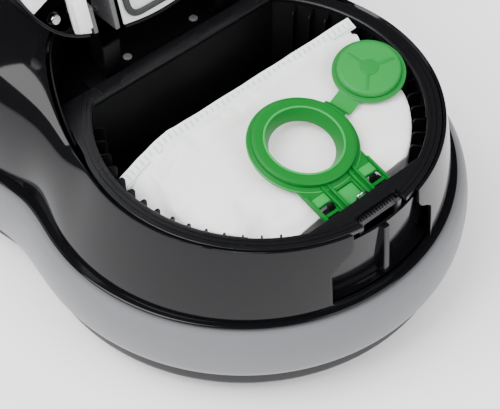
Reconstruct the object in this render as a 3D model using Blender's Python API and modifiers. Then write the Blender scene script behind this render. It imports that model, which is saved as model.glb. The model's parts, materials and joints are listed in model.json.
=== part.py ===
"""Cylinder vacuum cleaner standing on its castors with the bag compartment's lid open.

Units are metres and +Z is up. The origin is on the floor under the middle of the machine, +X is the
front and +Y is the machine's left. Most places are given from the bowl, the centre of the round rim
of the bag compartment: at() turns such a place into one in the machine's frame.
"""
import math
from collections import namedtuple

import bmesh
import bpy
from mathutils import Matrix, Vector

# ---- Driving dimensions ----------------------------------------------------------------------
RIM_Z = 0.140                   # the compartment's rim above the floor
BOWL_X = 0.106                  # centre of the compartment's round front
RIM_R = 0.126                   # outside of the rim
OPENING_R = 0.113               # inside of the compartment
PARTITION_X = -0.078            # wall behind the dust bag, from the bowl
WELL_X = -0.0905                # front of the hinge well, from the bowl
LEDGE_X = 0.102                 # edge of the front deck, from the bowl
TUB_DEPTH = 0.090
CREST = 0.028                   # how far the rear cover rises above the rim
GAP = 0.0004                    # between pieces that rest on each other
SHELL = 0.0024                  # wall of the glossy cover
COLUMNS = 60                    # round the glossy cover and the deck
BELT_COLUMNS = 56               # round the base and the bumper
LID_OPEN = math.radians(105)
HINGE = (-0.128, 0.0, 0.0255)   # the lid's hinge axis, from the bowl
CASTORS = {"front_left": (0.160, 0.088), "front_right": (0.160, -0.088),
           "rear_left": (-0.150, 0.095), "rear_right": (-0.150, -0.095)}
CUP_R = 0.0270                  # a castor's well
CUP_Z = 0.042
WHEEL_R = 0.0150
TRAIL = 0.0085
MOTOR = (-0.052, 0.0, 0.078)
MOTOR_R = 0.046
REEL = (-0.166, 0.0, 0.030)
REEL_R = 0.058
VENT = (-0.150, 0.0)            # exhaust grille on the rear cover
VENT_R = 0.0360
BUTTONS = {"power_button": (-0.128, 0.066), "rewind_button": (-0.128, -0.066)}
BUTTON_R = 0.0130
CORD_Z = 0.100                  # cord outlet in the rear wall
HANDLE_PIVOT = (-0.088, 0.0450)
HANDLE_REACH = 0.104

# An outline is a front circle and a rear lobe, blended at the waist between them.
Lobes = namedtuple("Lobes", "front_x front_r rear_x rear_length rear_half")
BUMPER = Lobes(0.090, 0.160, -0.079, 0.171, 0.160)
LIP = Lobes(0.090, 0.1505, -0.079, 0.161, 0.1505)
FOOT = Lobes(0.092, 0.145, -0.079, 0.156, 0.146)
LOBE_POWER = 2.6
WAIST_POWER = 12
FOOT_Z = RIM_Z - 0.0605


def at(x, y, z):
    """A place given from the centre of the rim, in the machine's frame."""
    return Vector((BOWL_X + x, y, RIM_Z + z))


# ---- Scene, materials and shape helpers --------------------------------------------------------
def clear_scene():
    for old in list(bpy.data.objects):
        bpy.data.objects.remove(old, do_unlink=True)


def collection(name):
    group = bpy.data.collections.new(name)
    bpy.context.scene.collection.children.link(group)
    return group


def principled(name, colour, roughness, metallic=0.0):
    material = bpy.data.materials.new(name)
    material.use_nodes = True
    shader = material.node_tree.nodes["Principled BSDF"]
    shader.inputs["Base Color"].default_value = (*colour, 1.0)
    shader.inputs["Roughness"].default_value = roughness
    shader.inputs["Metallic"].default_value = metallic
    return material


clear_scene()
PARTS = collection("cylinder_vacuum_cleaner")
CUTTERS = collection("cutters")
GLOSS_BLACK = principled("gloss_black", (0.012, 0.012, 0.014), 0.12)
SATIN_BLACK = principled("satin_black", (0.018, 0.017, 0.020), 0.42)
DARK_GREY = principled("dark_grey", (0.055, 0.055, 0.060), 0.50)
BELT_GREY = principled("belt_grey", (0.40, 0.41, 0.43), 0.85)
WHITE = principled("white", (0.80, 0.80, 0.79), 0.35)
GREEN = principled("green", (0.0, 0.42, 0.12), 0.30)
CAP_GREEN = principled("cap_green", (0.22, 0.62, 0.30), 0.30)
FLEECE = principled("fleece", (0.82, 0.83, 0.82), 0.95)
RUBBER = principled("rubber", (0.025, 0.025, 0.027), 0.70)
STEEL = principled("steel", (0.62, 0.62, 0.64), 0.30, 1.0)
ALUMINIUM = principled("aluminium", (0.70, 0.71, 0.72), 0.35, 1.0)
FOAM = principled("foam", (0.06, 0.06, 0.07), 0.95)
BOARD = principled("board", (0.02, 0.16, 0.07), 0.50)


def add(name, mesh, material, group=PARTS):
    thing = bpy.data.objects.new(name, mesh)
    mesh.materials.clear()
    mesh.materials.append(material)
    group.objects.link(thing)
    return thing


def bm_mesh(name, bm):
    bmesh.ops.recalc_face_normals(bm, faces=bm.faces)
    mesh = bpy.data.meshes.new(name)
    bm.to_mesh(mesh)
    bm.free()
    return mesh


def smooth(thing, degrees=40):
    thing.data.shade_smooth()
    thing.data.set_sharp_from_angle(angle=math.radians(degrees))
    return thing


def box(name, low, high, material):
    """A box between two corners, its origin at its middle."""
    low = Vector(low)
    high = Vector(high)
    bm = bmesh.new()
    bmesh.ops.create_cube(bm, size=1.0, matrix=Matrix.Diagonal((*(high - low), 1.0)))
    thing = add(name, bm_mesh(name, bm), material)
    thing.location = (low + high) / 2
    return thing


def rod(name, start, end, radius, material, sides=20, tip=None):
    """A cylinder, or a cone with another radius at its end, between two points."""
    start = Vector(start)
    end = Vector(end)
    bm = bmesh.new()
    bmesh.ops.create_cone(bm, cap_ends=True, segments=sides, radius1=radius,
                          radius2=radius if tip is None else tip, depth=(end - start).length)
    thing = add(name, bm_mesh(name, bm), material)
    thing.rotation_mode = "QUATERNION"
    thing.rotation_quaternion = (end - start).to_track_quat("Z", "Y")
    thing.location = (start + end) / 2
    return smooth(thing)


def turned(name, profile, material, steps=32, closed=True):
    """A profile of (radius, height) turned about Z, given down its outer side first."""
    mesh = bpy.data.meshes.new(name)
    edges = [(i, i + 1) for i in range(len(profile) - 1)]
    if closed:
        edges.append((len(profile) - 1, 0))
    mesh.from_pydata([(r, 0.0, z) for r, z in profile], edges, [])
    thing = add(name, mesh, material)
    screw = thing.modifiers.new("turn", "SCREW")
    screw.steps = steps
    screw.render_steps = steps
    screw.use_merge_vertices = True
    screw.merge_threshold = 0.00002
    screw.use_smooth_shade = True
    return thing


def plate(name, outline, thickness, material, holes=(), upright=False):
    """A flat outline with holes, thickened half to each side. Upright stands it in the XZ plane."""
    curve = bpy.data.curves.new(name, "CURVE")
    curve.dimensions = "2D"
    curve.fill_mode = "BOTH"
    curve.extrude = thickness / 2
    for loop in (outline, *holes):
        spline = curve.splines.new("POLY")
        spline.points.add(len(loop) - 1)
        for point, (x, y) in zip(spline.points, loop):
            point.co = (x, y, 0.0, 1.0)
        spline.use_cyclic_u = True
    source = bpy.data.objects.new(name, curve)
    PARTS.objects.link(source)
    bpy.context.view_layer.update()
    shape = source.evaluated_get(bpy.context.evaluated_depsgraph_get())
    mesh = bpy.data.meshes.new_from_object(shape)
    bpy.data.objects.remove(source)
    bm = bmesh.new()
    bm.from_mesh(mesh)
    bmesh.ops.remove_doubles(bm, verts=bm.verts, dist=0.000001)
    bm.to_mesh(mesh)
    bm.free()
    thing = add(name, mesh, material)
    if upright:
        thing.rotation_euler.x = math.pi / 2
    return thing


def tube(name, points, radius, material, sides=3):
    """A round bar along a line of points, with filled ends."""
    curve = bpy.data.curves.new(name, "CURVE")
    curve.dimensions = "3D"
    curve.bevel_depth = radius
    curve.bevel_resolution = sides
    curve.use_fill_caps = True
    spline = curve.splines.new("POLY")
    spline.points.add(len(points) - 1)
    for point, place in zip(spline.points, points):
        point.co = (*place, 1.0)
    source = bpy.data.objects.new(name, curve)
    PARTS.objects.link(source)
    bpy.context.view_layer.update()
    shape = source.evaluated_get(bpy.context.evaluated_depsgraph_get())
    mesh = bpy.data.meshes.new_from_object(shape)
    bpy.data.objects.remove(source)
    bm = bmesh.new()
    bm.from_mesh(mesh)
    bmesh.ops.remove_doubles(bm, verts=bm.verts, dist=0.000001)
    bm.to_mesh(mesh)
    bm.free()
    return smooth(add(name, mesh, material))


def loft(name, rings, material, caps=True, closed=False):
    """A skin over rings of equally many points: capped at its ends, or closed into a loop."""
    bm = bmesh.new()
    rows = [[bm.verts.new(point) for point in ring] for ring in rings]
    count = len(rows[0])
    pairs = list(zip(rows, rows[1:]))
    if closed:
        pairs.append((rows[-1], rows[0]))
    for lower, upper in pairs:
        for i in range(count):
            j = (i + 1) % count
            bm.faces.new((lower[i], lower[j], upper[j], upper[i]))
    if caps and not closed:
        bm.faces.new(rows[0])
        bm.faces.new(rows[-1])
    return smooth(add(name, bm_mesh(name, bm), material), 35)


def sheet(name, rows, thickness, material, loop=False, centre=None):
    """An open skin over rows of points, thickened to the side that its faces turn away from."""
    bm = bmesh.new()
    grid = [[bm.verts.new(point) for point in row] for row in rows]
    count = len(grid[0])
    for lower, upper in zip(grid, grid[1:]):
        for i in range(count if loop else count - 1):
            j = (i + 1) % count
            bm.faces.new((lower[i], lower[j], upper[j], upper[i]))
    if centre is not None:
        tip = bm.verts.new(centre)
        for i in range(count):
            bm.faces.new((grid[-1][i], grid[-1][(i + 1) % count], tip))
    mesh = bpy.data.meshes.new(name)
    bm.to_mesh(mesh)
    bm.free()
    thing = add(name, mesh, material)
    solid = thing.modifiers.new("wall", "SOLIDIFY")
    solid.thickness = thickness
    solid.offset = -1.0
    solid.use_even_offset = True
    return smooth(thing, 35)


def boolean(thing, other, operation):
    step = thing.modifiers.new(operation.lower(), "BOOLEAN")
    step.operation = operation
    step.object = other
    for group in list(other.users_collection):
        group.objects.unlink(other)
    CUTTERS.objects.link(other)
    other.display_type = "WIRE"
    other.hide_render = True
    return thing


def cut(thing, *others):
    for other in others:
        boolean(thing, other, "DIFFERENCE")
    return thing


def join(thing, *others):
    for other in others:
        boolean(thing, other, "UNION")
    return thing


def rounded(corners, radius, steps=4):
    """A closed outline whose convex or concave corners are rounded by short arcs."""
    points = []
    count = len(corners)
    for i in range(count):
        here = Vector(corners[i])
        before = (Vector(corners[i - 1]) - here).normalized()
        after = (Vector(corners[(i + 1) % count]) - here).normalized()
        for k in range(steps + 1):
            t = k / steps
            points.append(here + before * radius * (1 - t) ** 2 + after * radius * t ** 2)
    return [(p.x, p.y) for p in points]


# ---- Outlines and surfaces of the machine --------------------------------------------------------
def smoothstep(t):
    t = min(max(t, 0.0), 1.0)
    return t * t * (3 - 2 * t)


def inset(lobes, distance):
    return lobes._replace(front_r=lobes.front_r - distance, rear_length=lobes.rear_length - distance,
                          rear_half=lobes.rear_half - distance)


def half_width(lobes, x):
    across = 1 - ((x - lobes.front_x) / lobes.front_r) ** 2
    front = lobes.front_r * math.sqrt(max(across, 0.0))
    along = 1 - (abs(x - lobes.rear_x) / lobes.rear_length) ** LOBE_POWER
    rear = lobes.rear_half * max(along, 0.0) ** (1 / LOBE_POWER)
    return (front ** WAIST_POWER + rear ** WAIST_POWER) ** (1 / WAIST_POWER)


def outline(lobes, count=COLUMNS):
    """Points round the machine, from the middle of the front and by the left."""
    front = lobes.front_x + lobes.front_r
    rear = lobes.rear_x - lobes.rear_length
    points = []
    for i in range(count):
        turn = math.tau * i / count
        x = (front + rear) / 2 + (front - rear) / 2 * math.cos(turn)
        y = half_width(lobes, x) if 0 < i < count and i != count // 2 else 0.0
        points.append((x, y if turn < math.pi else -y))
    return points


def level(points, z):
    return [Vector((x, y, z)) for x, y in points]


def reach(lobes, phi):
    """Distance from the bowl's centre to an outline, in the direction phi."""
    low = 0.08
    high = 0.40
    for _ in range(36):
        middle = (low + high) / 2
        x = BOWL_X + middle * math.cos(phi)
        inside = abs(x - lobes.rear_x) < lobes.rear_length or abs(x - lobes.front_x) < lobes.front_r
        if inside and abs(middle * math.sin(phi)) < half_width(lobes, x):
            low = middle
        else:
            high = middle
    return low


def rear_turn(phi, start, span):
    """0 in front of an angle from the nose, 1 past it by a span, both in degrees."""
    return smoothstep((abs(math.degrees(phi)) - start) / span)


def edge_radius(phi):
    """The cover's inner edge: the rim in front, opening wider behind the lid."""
    return RIM_R + 0.024 * rear_turn(phi, 105, 50)


def edge_rise(phi):
    return CREST * rear_turn(phi, 113, 32)


def lid_radius(phi):
    return edge_radius(phi) - 0.0010 - 0.0038 * rear_turn(phi, 98, 16) - 0.0042 * rear_turn(phi, 140, 30)


def lid_edge(phi):
    return 0.014 + 0.010 * rear_turn(phi, 100, 50)


def from_bowl(phi, radius, z):
    return Vector((BOWL_X + radius * math.cos(phi), radius * math.sin(phi), z))


def shell_point(phi, s):
    """A point of the glossy cover, from the wall's foot at s = 0 to its inner edge at s = 1."""
    foot = from_bowl(phi, reach(FOOT, phi), FOOT_Z)
    edge = from_bowl(phi, edge_radius(phi), RIM_Z + edge_rise(phi))
    power = 1.15 + 1.45 * rear_turn(phi, 100, 42)
    turn = s * math.pi / 2
    inward = 1 - max(math.cos(turn), 0.0) ** (2 / power)
    up = math.sin(turn) ** (2 / power)
    flat = foot.lerp(edge, inward)
    return Vector((flat.x, flat.y, foot.z + (edge.z - foot.z) * up))


def cover_height(x, y):
    """Height of the rear cover's skin over a place in plan."""
    phi = math.atan2(y, x - BOWL_X)
    wanted = math.hypot(x - BOWL_X, y)
    low = 0.0
    high = 1.0
    for _ in range(30):
        middle = (low + high) / 2
        point = shell_point(phi, middle)
        if math.hypot(point.x - BOWL_X, point.y) > wanted:
            low = middle
        else:
            high = middle
    return shell_point(phi, low).z


def cover_frame(x, y):
    """A place on the rear cover's skin, with +Z along the skin's normal."""
    step = 0.002
    slope_x = (cover_height(x + step, y) - cover_height(x - step, y)) / (2 * step)
    slope_y = (cover_height(x, y + step) - cover_height(x, y - step)) / (2 * step)
    normal = Vector((-slope_x, -slope_y, 1.0)).normalized()
    along = Vector((1.0, 0.0, slope_x)).normalized()
    across = normal.cross(along)
    frame = Matrix((along, across, normal)).transposed().to_4x4()
    frame.translation = (x, y, cover_height(x, y))
    return frame


def cover_bore(name, place, radius, sides):
    cutter = rod(name, (0.0, 0.0, -0.030), (0.0, 0.0, 0.030), radius, GLOSS_BLACK, sides)
    cutter.matrix_world = cover_frame(*place)
    return cutter


def handle_z():
    return cover_height(*HANDLE_PIVOT) + 0.0105


def shell_angles():
    return [math.atan2(y, x - BOWL_X) for x, y in outline(FOOT)]


def chord_outline(radius, rear, front, count=88):
    """A circle about the bowl cut straight at the rear and at the front, in plan."""
    return [(BOWL_X + min(max(radius * math.cos(math.tau * i / count), rear), front),
             radius * math.sin(math.tau * i / count)) for i in range(count)]


# ---- Base, bumper and covers ---------------------------------------------------------------------
def make_base_pan():
    section = ((0.0140, 0.0120), (0.0090, 0.0180), (0.0090, 0.0352), (0.0136, 0.0352), (0.0136, 0.0742),
               (0.0162, 0.0742), (0.0162, 0.0190), (0.0190, 0.0150))
    rings = [level(outline(inset(BUMPER, d), BELT_COLUMNS), z) for d, z in section]
    pan = loft("base_pan", rings, SATIN_BLACK)
    for name, (x, y) in CASTORS.items():
        join(pan, rod(f"cup_{name}", (x, y, 0.0135), (x, y, CUP_Z + 0.0025),
                      CUP_R + 0.0025, SATIN_BLACK, 20))
    for name, (x, y) in CASTORS.items():
        cut(pan, rod(f"well_{name}", (x, y, 0.0), (x, y, CUP_Z), CUP_R, SATIN_BLACK, 20),
            rod(f"bore_{name}", (x, y, 0.03), (x, y, 0.06), 0.0044, SATIN_BLACK, 10))
    for k, shift in enumerate((-0.0180, 0.0180)):
        x = MOTOR[0] + shift
        join(pan, box(f"motor_saddle_{k}", (x - 0.0030, -0.0160, 0.0140), (x + 0.0030, 0.0160, 0.0266),
                      SATIN_BLACK))
    return pan


def make_bumper():
    section = [(0.0132, 0.0355), (0.0030, 0.0358), (0.0006, 0.0420), (0.0000, 0.0540), (0.0012, 0.0650),
               (0.0040, 0.0722), (0.0080, 0.0752), (0.0132, 0.0752)]
    rings = [level(outline(inset(BUMPER, d), BELT_COLUMNS), z) for d, z in section]
    return loft("bumper_belt", rings, BELT_GREY, closed=True)


def recess_outline():
    """The notch in the front wall, seen from the front: wide below, narrow at the rim."""
    right = [(0.045, -0.0575), (0.045, -0.028), (0.0385, -0.0215), (0.0325, -0.017), (0.029, -0.012),
             (0.029, 0.010)]
    return right + [(-y, z) for y, z in reversed(right)]


def make_upper_shell():
    angles = shell_angles()
    lip = [Vector((x, y, FOOT_Z - 0.0014)) for x, y in outline(LIP)]
    rows = [lip] + [[shell_point(phi, s) for phi in angles]
                    for s in (0.0, 0.24, 0.47, 0.67, 0.84, 1.0)]
    shell = sheet("upper_shell", rows, SHELL, GLOSS_BLACK, loop=True)
    notch = plate("front_notch", recess_outline(), 0.060, GLOSS_BLACK)
    notch.rotation_euler = (math.pi / 2, 0.0, math.pi / 2)
    notch.location = at(0.136, 0.0, 0.0)
    cord = rod("cord_hole", (-0.260, 0.0, CORD_Z), (-0.200, 0.0, CORD_Z), 0.0095, GLOSS_BLACK, 20)
    cut(shell, notch, cord, cover_bore("vent_hole", VENT, VENT_R + 0.0008, 24))
    for name, place in BUTTONS.items():
        cut(shell, cover_bore(f"{name}_hole", place, BUTTON_R + 0.0010, 16))
    for name, side in hinge_sides():
        x, y = HANDLE_PIVOT
        low, high = sorted((side * (y - 0.0125), side * (y - 0.0065)))
        lug = box(f"handle_lug_{name}", (x - 0.0065, low, cover_height(x, y) - 0.0050),
                  (x + 0.0065, high, handle_z() + 0.0060), GLOSS_BLACK)
        bore = rod(f"lug_bore_{name}", (x, side * (y - 0.020), handle_z()), (x, side * y, handle_z()),
                   0.0024, GLOSS_BLACK, 14)
        join(shell, lug)
        cut(shell, bore)
    return shell


def deck_radius(phi):
    return edge_radius(phi) - (0.0052 if abs(math.degrees(phi)) > 112 else 0.0029)


def make_rim_deck():
    outer = []
    for i in range(COLUMNS):
        phi = math.tau * i / COLUMNS
        phi = phi - math.tau if phi > math.pi else phi
        radius = deck_radius(phi)
        outer.append((max(radius * math.cos(phi), WELL_X) + BOWL_X, radius * math.sin(phi)))
    opening = chord_outline(OPENING_R, PARTITION_X, LEDGE_X, 52)
    deck = plate("rim_deck", outer, 0.004, SATIN_BLACK, holes=(opening,))
    deck.location.z = RIM_Z - 0.002
    return cut(deck, box("latch_slot", at(0.1120, -0.0190, -0.010), at(0.1400, 0.0190, 0.010), SATIN_BLACK))


def make_bag_tub():
    """The compartment: a tub with upright fins on its side walls that keep the bag off them."""
    top = RIM_Z - 0.0044
    floor = RIM_Z - TUB_DEPTH
    wall = 0.0018
    outer = chord_outline(OPENING_R + wall, PARTITION_X - wall, 0.1125, 52)
    inner = chord_outline(OPENING_R, PARTITION_X, 0.1107, 52)
    rings = [level(outer, floor), level(outer, top), level(inner, top), level(inner, floor + wall)]
    tub = loft("bag_tub", rings, SATIN_BLACK)
    fin = [(0.1056, floor + 0.001), (0.1056, top - 0.0070), (0.1066, top - 0.0036), (0.1090, top - 0.0018),
           (0.1138, top - 0.0018), (0.1138, floor + 0.001)]
    for step in range(15):
        for side in (1, -1):
            phi = side * math.radians(34 + 6.5 * step)
            rib = plate(f"fin_{step}_{side}", fin, 0.0016, SATIN_BLACK)
            rib.rotation_euler = (math.pi / 2, 0.0, phi)
            rib.location = (BOWL_X, 0.0, 0.0)
            join(tub, rib)
    return tub


def make_recess_panel():
    """The dark panel behind the front notch, with an upright rib in its middle."""
    rows = []
    for s in (0.09, 0.30, 0.50, 0.70):
        row = []
        for k in range(11):
            phi = math.radians(-23 + 46 * k / 10)
            point = shell_point(phi, s)
            radius = math.hypot(point.x - BOWL_X, point.y) - SHELL - 0.0022
            row.append(from_bowl(phi, radius, point.z))
        rows.append(row)
    panel = sheet("recess_panel", rows, 0.0020, GLOSS_BLACK)
    low = shell_point(0.0, 0.17)
    high = shell_point(0.0, 0.68)
    rib = loft("recess_rib", [[Vector((p.x + dx, y, p.z)) for dx, y in
                               ((-0.0050, -0.0026), (-0.0016, -0.0020), (-0.0016, 0.0020), (-0.0050, 0.0026))]
                              for p in (low, high)], GLOSS_BLACK)
    return join(panel, rib)


def make_hinge_carrier():
    """The well behind the partition, with a bracket and a knuckle for each of the lid's hinges."""
    floor_low = -0.0108
    floor_high = -0.0085
    chord = WELL_X - GAP
    arc = []
    for k in range(31):
        phi = math.radians(130 + 100 * k / 30)
        signed = phi - math.tau if phi > math.pi else phi
        radius = edge_radius(signed) - 0.0027
        arc.append((BOWL_X + min(radius * math.cos(phi), chord), radius * math.sin(phi)))
    floor = plate("hinge_carrier", arc, floor_high - floor_low, SATIN_BLACK)
    floor.location.z = RIM_Z + (floor_high + floor_low) / 2
    ring_low, ring_top, inner_top, inner_low = [], [], [], []
    for k in range(33):
        phi = math.radians(116 + 128 * k / 32)
        signed = phi - math.tau if phi > math.pi else phi
        outer = edge_radius(signed) - 0.0027
        top = RIM_Z + max(edge_rise(signed) - 0.0006, 0.0002)
        ring_low.append(from_bowl(phi, outer, RIM_Z + floor_low + 0.0004))
        ring_top.append(from_bowl(phi, outer, top))
        inner_top.append(from_bowl(phi, outer - 0.0015, top))
        inner_low.append(from_bowl(phi, outer - 0.0015, RIM_Z + floor_low + 0.0004))
    sections = [list(section) for section in zip(ring_low, ring_top, inner_top, inner_low)]
    carrier = join(floor, loft("well_wall", sections, SATIN_BLACK))
    join(carrier, box("well_front", at(chord - 0.0024, -0.092, floor_low + 0.0004),
                      at(chord, 0.092, -0.0050), SATIN_BLACK))
    for side in (-1, 1):
        y0, y1 = sorted((side * 0.0430, side * 0.0575))
        wall = box(f"bracket_{side}", at(-0.0965, y0, floor_low + 0.0008), at(-0.0940, y1, 0.024), SATIN_BLACK)
        y0, y1 = sorted((side * 0.0430, side * 0.0700))
        step = box(f"step_{side}", at(-0.1060, y0, floor_low + 0.0008), at(-0.0915, y1, -0.0060), SATIN_BLACK)
        post = [(-0.1380, floor_low + 0.001), (-0.1180, floor_low + 0.001), (-0.1235, 0.0240)]
        post += [(HINGE[0] + 0.0045 * math.cos(a), HINGE[2] + 0.0045 * math.sin(a))
                 for a in [math.pi * k / 8 for k in range(9)]]
        post += [(-0.1325, 0.0240)]
        knuckle = plate(f"knuckle_{side}", post, 0.009, SATIN_BLACK, upright=True)
        knuckle.location = at(0.0, side * 0.0455, 0.0)
        join(carrier, wall, step, knuckle)
        cut(carrier, rod(f"pin_bore_{side}", at(HINGE[0], side * 0.030, HINGE[2]),
                         at(HINGE[0], side * 0.0550, HINGE[2]), 0.0023, SATIN_BLACK, 16))
    return carrier


def make_hinge_pins():
    for name, side in (("hinge_pin_left", 1), ("hinge_pin_right", -1)):
        rod(name, at(HINGE[0], side * 0.0325, HINGE[2]), at(HINGE[0], side * 0.0590, HINGE[2]), 0.0020, STEEL, 14)


def make_catch_bar():
    """The bar in the front slot that the lid's hook snaps under."""
    bar = box("catch_bar", at(0.1126, -0.0185, -0.0095), at(0.1155, 0.0185, -0.0044), DARK_GREY)
    foot = box("catch_foot", at(0.1126, -0.0185, -0.0180), at(0.1180, -0.0150, -0.0044), DARK_GREY)
    other = box("catch_foot_left", at(0.1126, 0.0150, -0.0180), at(0.1180, 0.0185, -0.0044), DARK_GREY)
    return join(bar, foot, other)


# ---- Dust bag and its collar -----------------------------------------------------------------------
COLLAR = (0.045, 0.0, 0.005)                 # middle of the mouth's top edge
COLLAR_TILT = math.radians(10.8)             # down towards the front
MOUTH_R = 0.0262
CAP = (0.022, 0.0815, -0.0005)               # middle of the cap's flange, on its upper side
CAP_NORMAL = Vector((0.16, -0.14, 0.97)).normalized()
STRAP_HALF = 0.0085


def collar_frame():
    return Matrix.Translation(at(*COLLAR)) @ Matrix.Rotation(COLLAR_TILT, 4, "Y")


def collar_normal():
    return (collar_frame().to_3x3() @ Vector((0.0, 0.0, 1.0))).normalized()


def cap_axis():
    """The living hinge: a point and a direction, about which the cap turns over onto the mouth."""
    closed = at(*COLLAR) + collar_normal() * 0.0012
    opened = at(*CAP)
    direction = (CAP_NORMAL + collar_normal()).cross(opened - closed).normalized()
    apart = opened - closed
    turn = cap_turn(direction)
    middle = (opened + closed) / 2
    side = direction.cross(apart).normalized() * (apart.length / 2) / math.tan(turn / 2)
    return middle + side, direction


def cap_turn(direction):
    """Angle that turns the cap's face onto the collar's, the other way up."""
    start = (CAP_NORMAL - direction * CAP_NORMAL.dot(direction)).normalized()
    end = (-collar_normal() + direction * collar_normal().dot(direction)).normalized()
    return math.acos(max(-1.0, min(1.0, start.dot(end))))


def make_collar():
    ring = turned("bag_collar", [(0.0352, 0.0000), (0.0352, -0.0034), (0.0382, -0.0042), (0.0382, -0.0064),
                                 (0.0246, -0.0064), (0.0246, -0.0100), (0.0225, -0.0100), (0.0236, -0.0060),
                                 (MOUTH_R, 0.0000), (MOUTH_R + 0.0020, 0.0007), (0.0330, 0.0007)],
                  GREEN, steps=28)
    ring.matrix_world = collar_frame()
    windows = [[(0.0400, -0.0070), (0.0400, 0.0070), (0.0535, 0.0070), (0.0535, -0.0070)]]
    for side in (-1, 1):
        y0, y1 = side * 0.0155, side * 0.0265
        windows.append([(0.0440, y0), (0.0440, y1), (0.0500, y1), (0.0500, y0)])
        windows.append([(0.0525, y0), (0.0525, y1), (0.0560, y1), (0.0560, y0)])
    tongue = plate("collar_plate", [(0.0150, -0.0285), (0.0615, -0.0285), (0.0615, 0.0285), (0.0150, 0.0285)],
                   0.0022, GREEN, holes=windows)
    tongue.matrix_world = collar_frame() @ Matrix.Translation((0.0, 0.0, -0.0055))
    cut(tongue, rod_in(collar_frame(), "mouth_cut", 0.0290))
    join(ring, tongue)
    for k, y in enumerate((-0.0275, -0.0137, -0.0093, 0.0093, 0.0137, 0.0275)):
        bar = box(f"collar_bar_{k}", (0.0325, y - 0.0009, -0.0066), (0.0612, y + 0.0009, -0.0022), GREEN)
        bar.matrix_world = collar_frame() @ Matrix.Translation(bar.location)
        join(ring, bar)
    strap = strap_piece("collar_strap", at(*COLLAR) + collar_normal() * -0.0052, collar_normal(),
                        ((0.0346, 0.0), (0.0378, 0.0)), 0.0005)
    return join(ring, strap)


def rod_in(frame, name, radius):
    cutter = rod(name, (0.0, 0.0, -0.02), (0.0, 0.0, 0.02), radius, GREEN, 28)
    cutter.matrix_world = frame
    return cutter


def strap_piece(name, hub, normal, path, gap):
    """Half of the strap, from a hub's flange by way of a path, each point of it a distance out
    and a height, to a gap short of the crease."""
    axis_point, direction = cap_axis()
    near = axis_point + direction * (hub - axis_point).dot(direction)
    out = ((near - hub) - normal * (near - hub).dot(normal)).normalized()
    points = [hub + out * distance + normal * height for distance, height in path]
    points.append(near - (near - points[-1]).normalized() * gap)
    across = direction * STRAP_HALF
    up = normal * 0.0004
    rings = [[p - across - up, p + across - up, p + across + up, p - across + up] for p in points]
    return loft(name, rings, CAP_GREEN)


def make_cap():
    """The stopper on its strap, lying open beside the mouth with its plug up."""
    place = Matrix.Translation(at(*CAP)) @ CAP_NORMAL.to_track_quat("Z", "Y").to_matrix().to_4x4()
    disc = turned("bag_cap", [(0.0000, 0.0048), (0.0205, 0.0048), (0.0222, 0.0034), (0.0225, 0.0000),
                              (0.0258, 0.0000), (0.0258, -0.0018), (0.0000, -0.0018)], CAP_GREEN,
                  steps=28, closed=False)
    disc.matrix_world = place
    strap = strap_piece("cap_strap", at(*CAP) + CAP_NORMAL * -0.0009, CAP_NORMAL,
                        ((0.0229, 0.0), (0.0366, 0.0006), (0.0400, 0.0061)), 0.0015)
    return join(disc, strap)


def make_cradle():
    """The holder that the collar's plate slides under, with a hook through each side window."""
    body = box("bag_cradle", at(0.1025, -0.0215, -0.0340), at(0.1085, 0.0215, -0.0200), SATIN_BLACK)
    arms = []
    for side in (-1, 1):
        low, high = sorted((side * 0.0165, side * 0.0213))
        arms.append(box(f"hook_arm_{side}", at(0.0895, low, -0.0240), at(0.1030, high, -0.0205), SATIN_BLACK))
        arms.append(box(f"hook_tip_{side}", at(0.0895, low, -0.0215), at(0.0925, high, -0.0040), SATIN_BLACK))
    return join(body, *arms)


def make_dust_bag():
    """A full pillow of fleece, softly square in plan and hollowed a little under the collar."""
    sections = ((-0.0855, 0.74), (-0.0800, 0.90), (-0.0620, 0.985), (-0.0400, 1.0), (-0.0250, 0.95),
                (-0.0175, 0.80), (-0.0150, 0.55))
    rings = []
    for z, scale in sections:
        ring = []
        for k in range(32):
            turn = math.tau * k / 32
            c, s = math.cos(turn), math.sin(turn)
            x = 0.0215 + scale * 0.0655 * math.copysign(abs(c) ** 0.72, c)
            y = scale * 0.0930 * math.copysign(abs(s) ** 0.72, s)
            ring.append(at(x, y, z))
        rings.append(ring)
    return loft("dust_bag", rings, FLEECE)


# ---- Lid -------------------------------------------------------------------------------------------
LID_HEIGHT = 0.037
LID_COLUMNS = 48
NECK = (0.045, 0.0)                        # the hose neck, over the collar when the lid is shut


def lid_angle(k):
    phi = math.tau * k / LID_COLUMNS
    return phi - math.tau if phi > math.pi else phi


def lid_top(phi, t):
    return lid_edge(phi) + (LID_HEIGHT - lid_edge(phi)) * (1 - t ** 4)


def lid_point(phi, t, z):
    return from_bowl(phi, lid_radius(phi) * t, RIM_Z + z)


def hinge_sides():
    return (("left", 1), ("right", -1))


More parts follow.
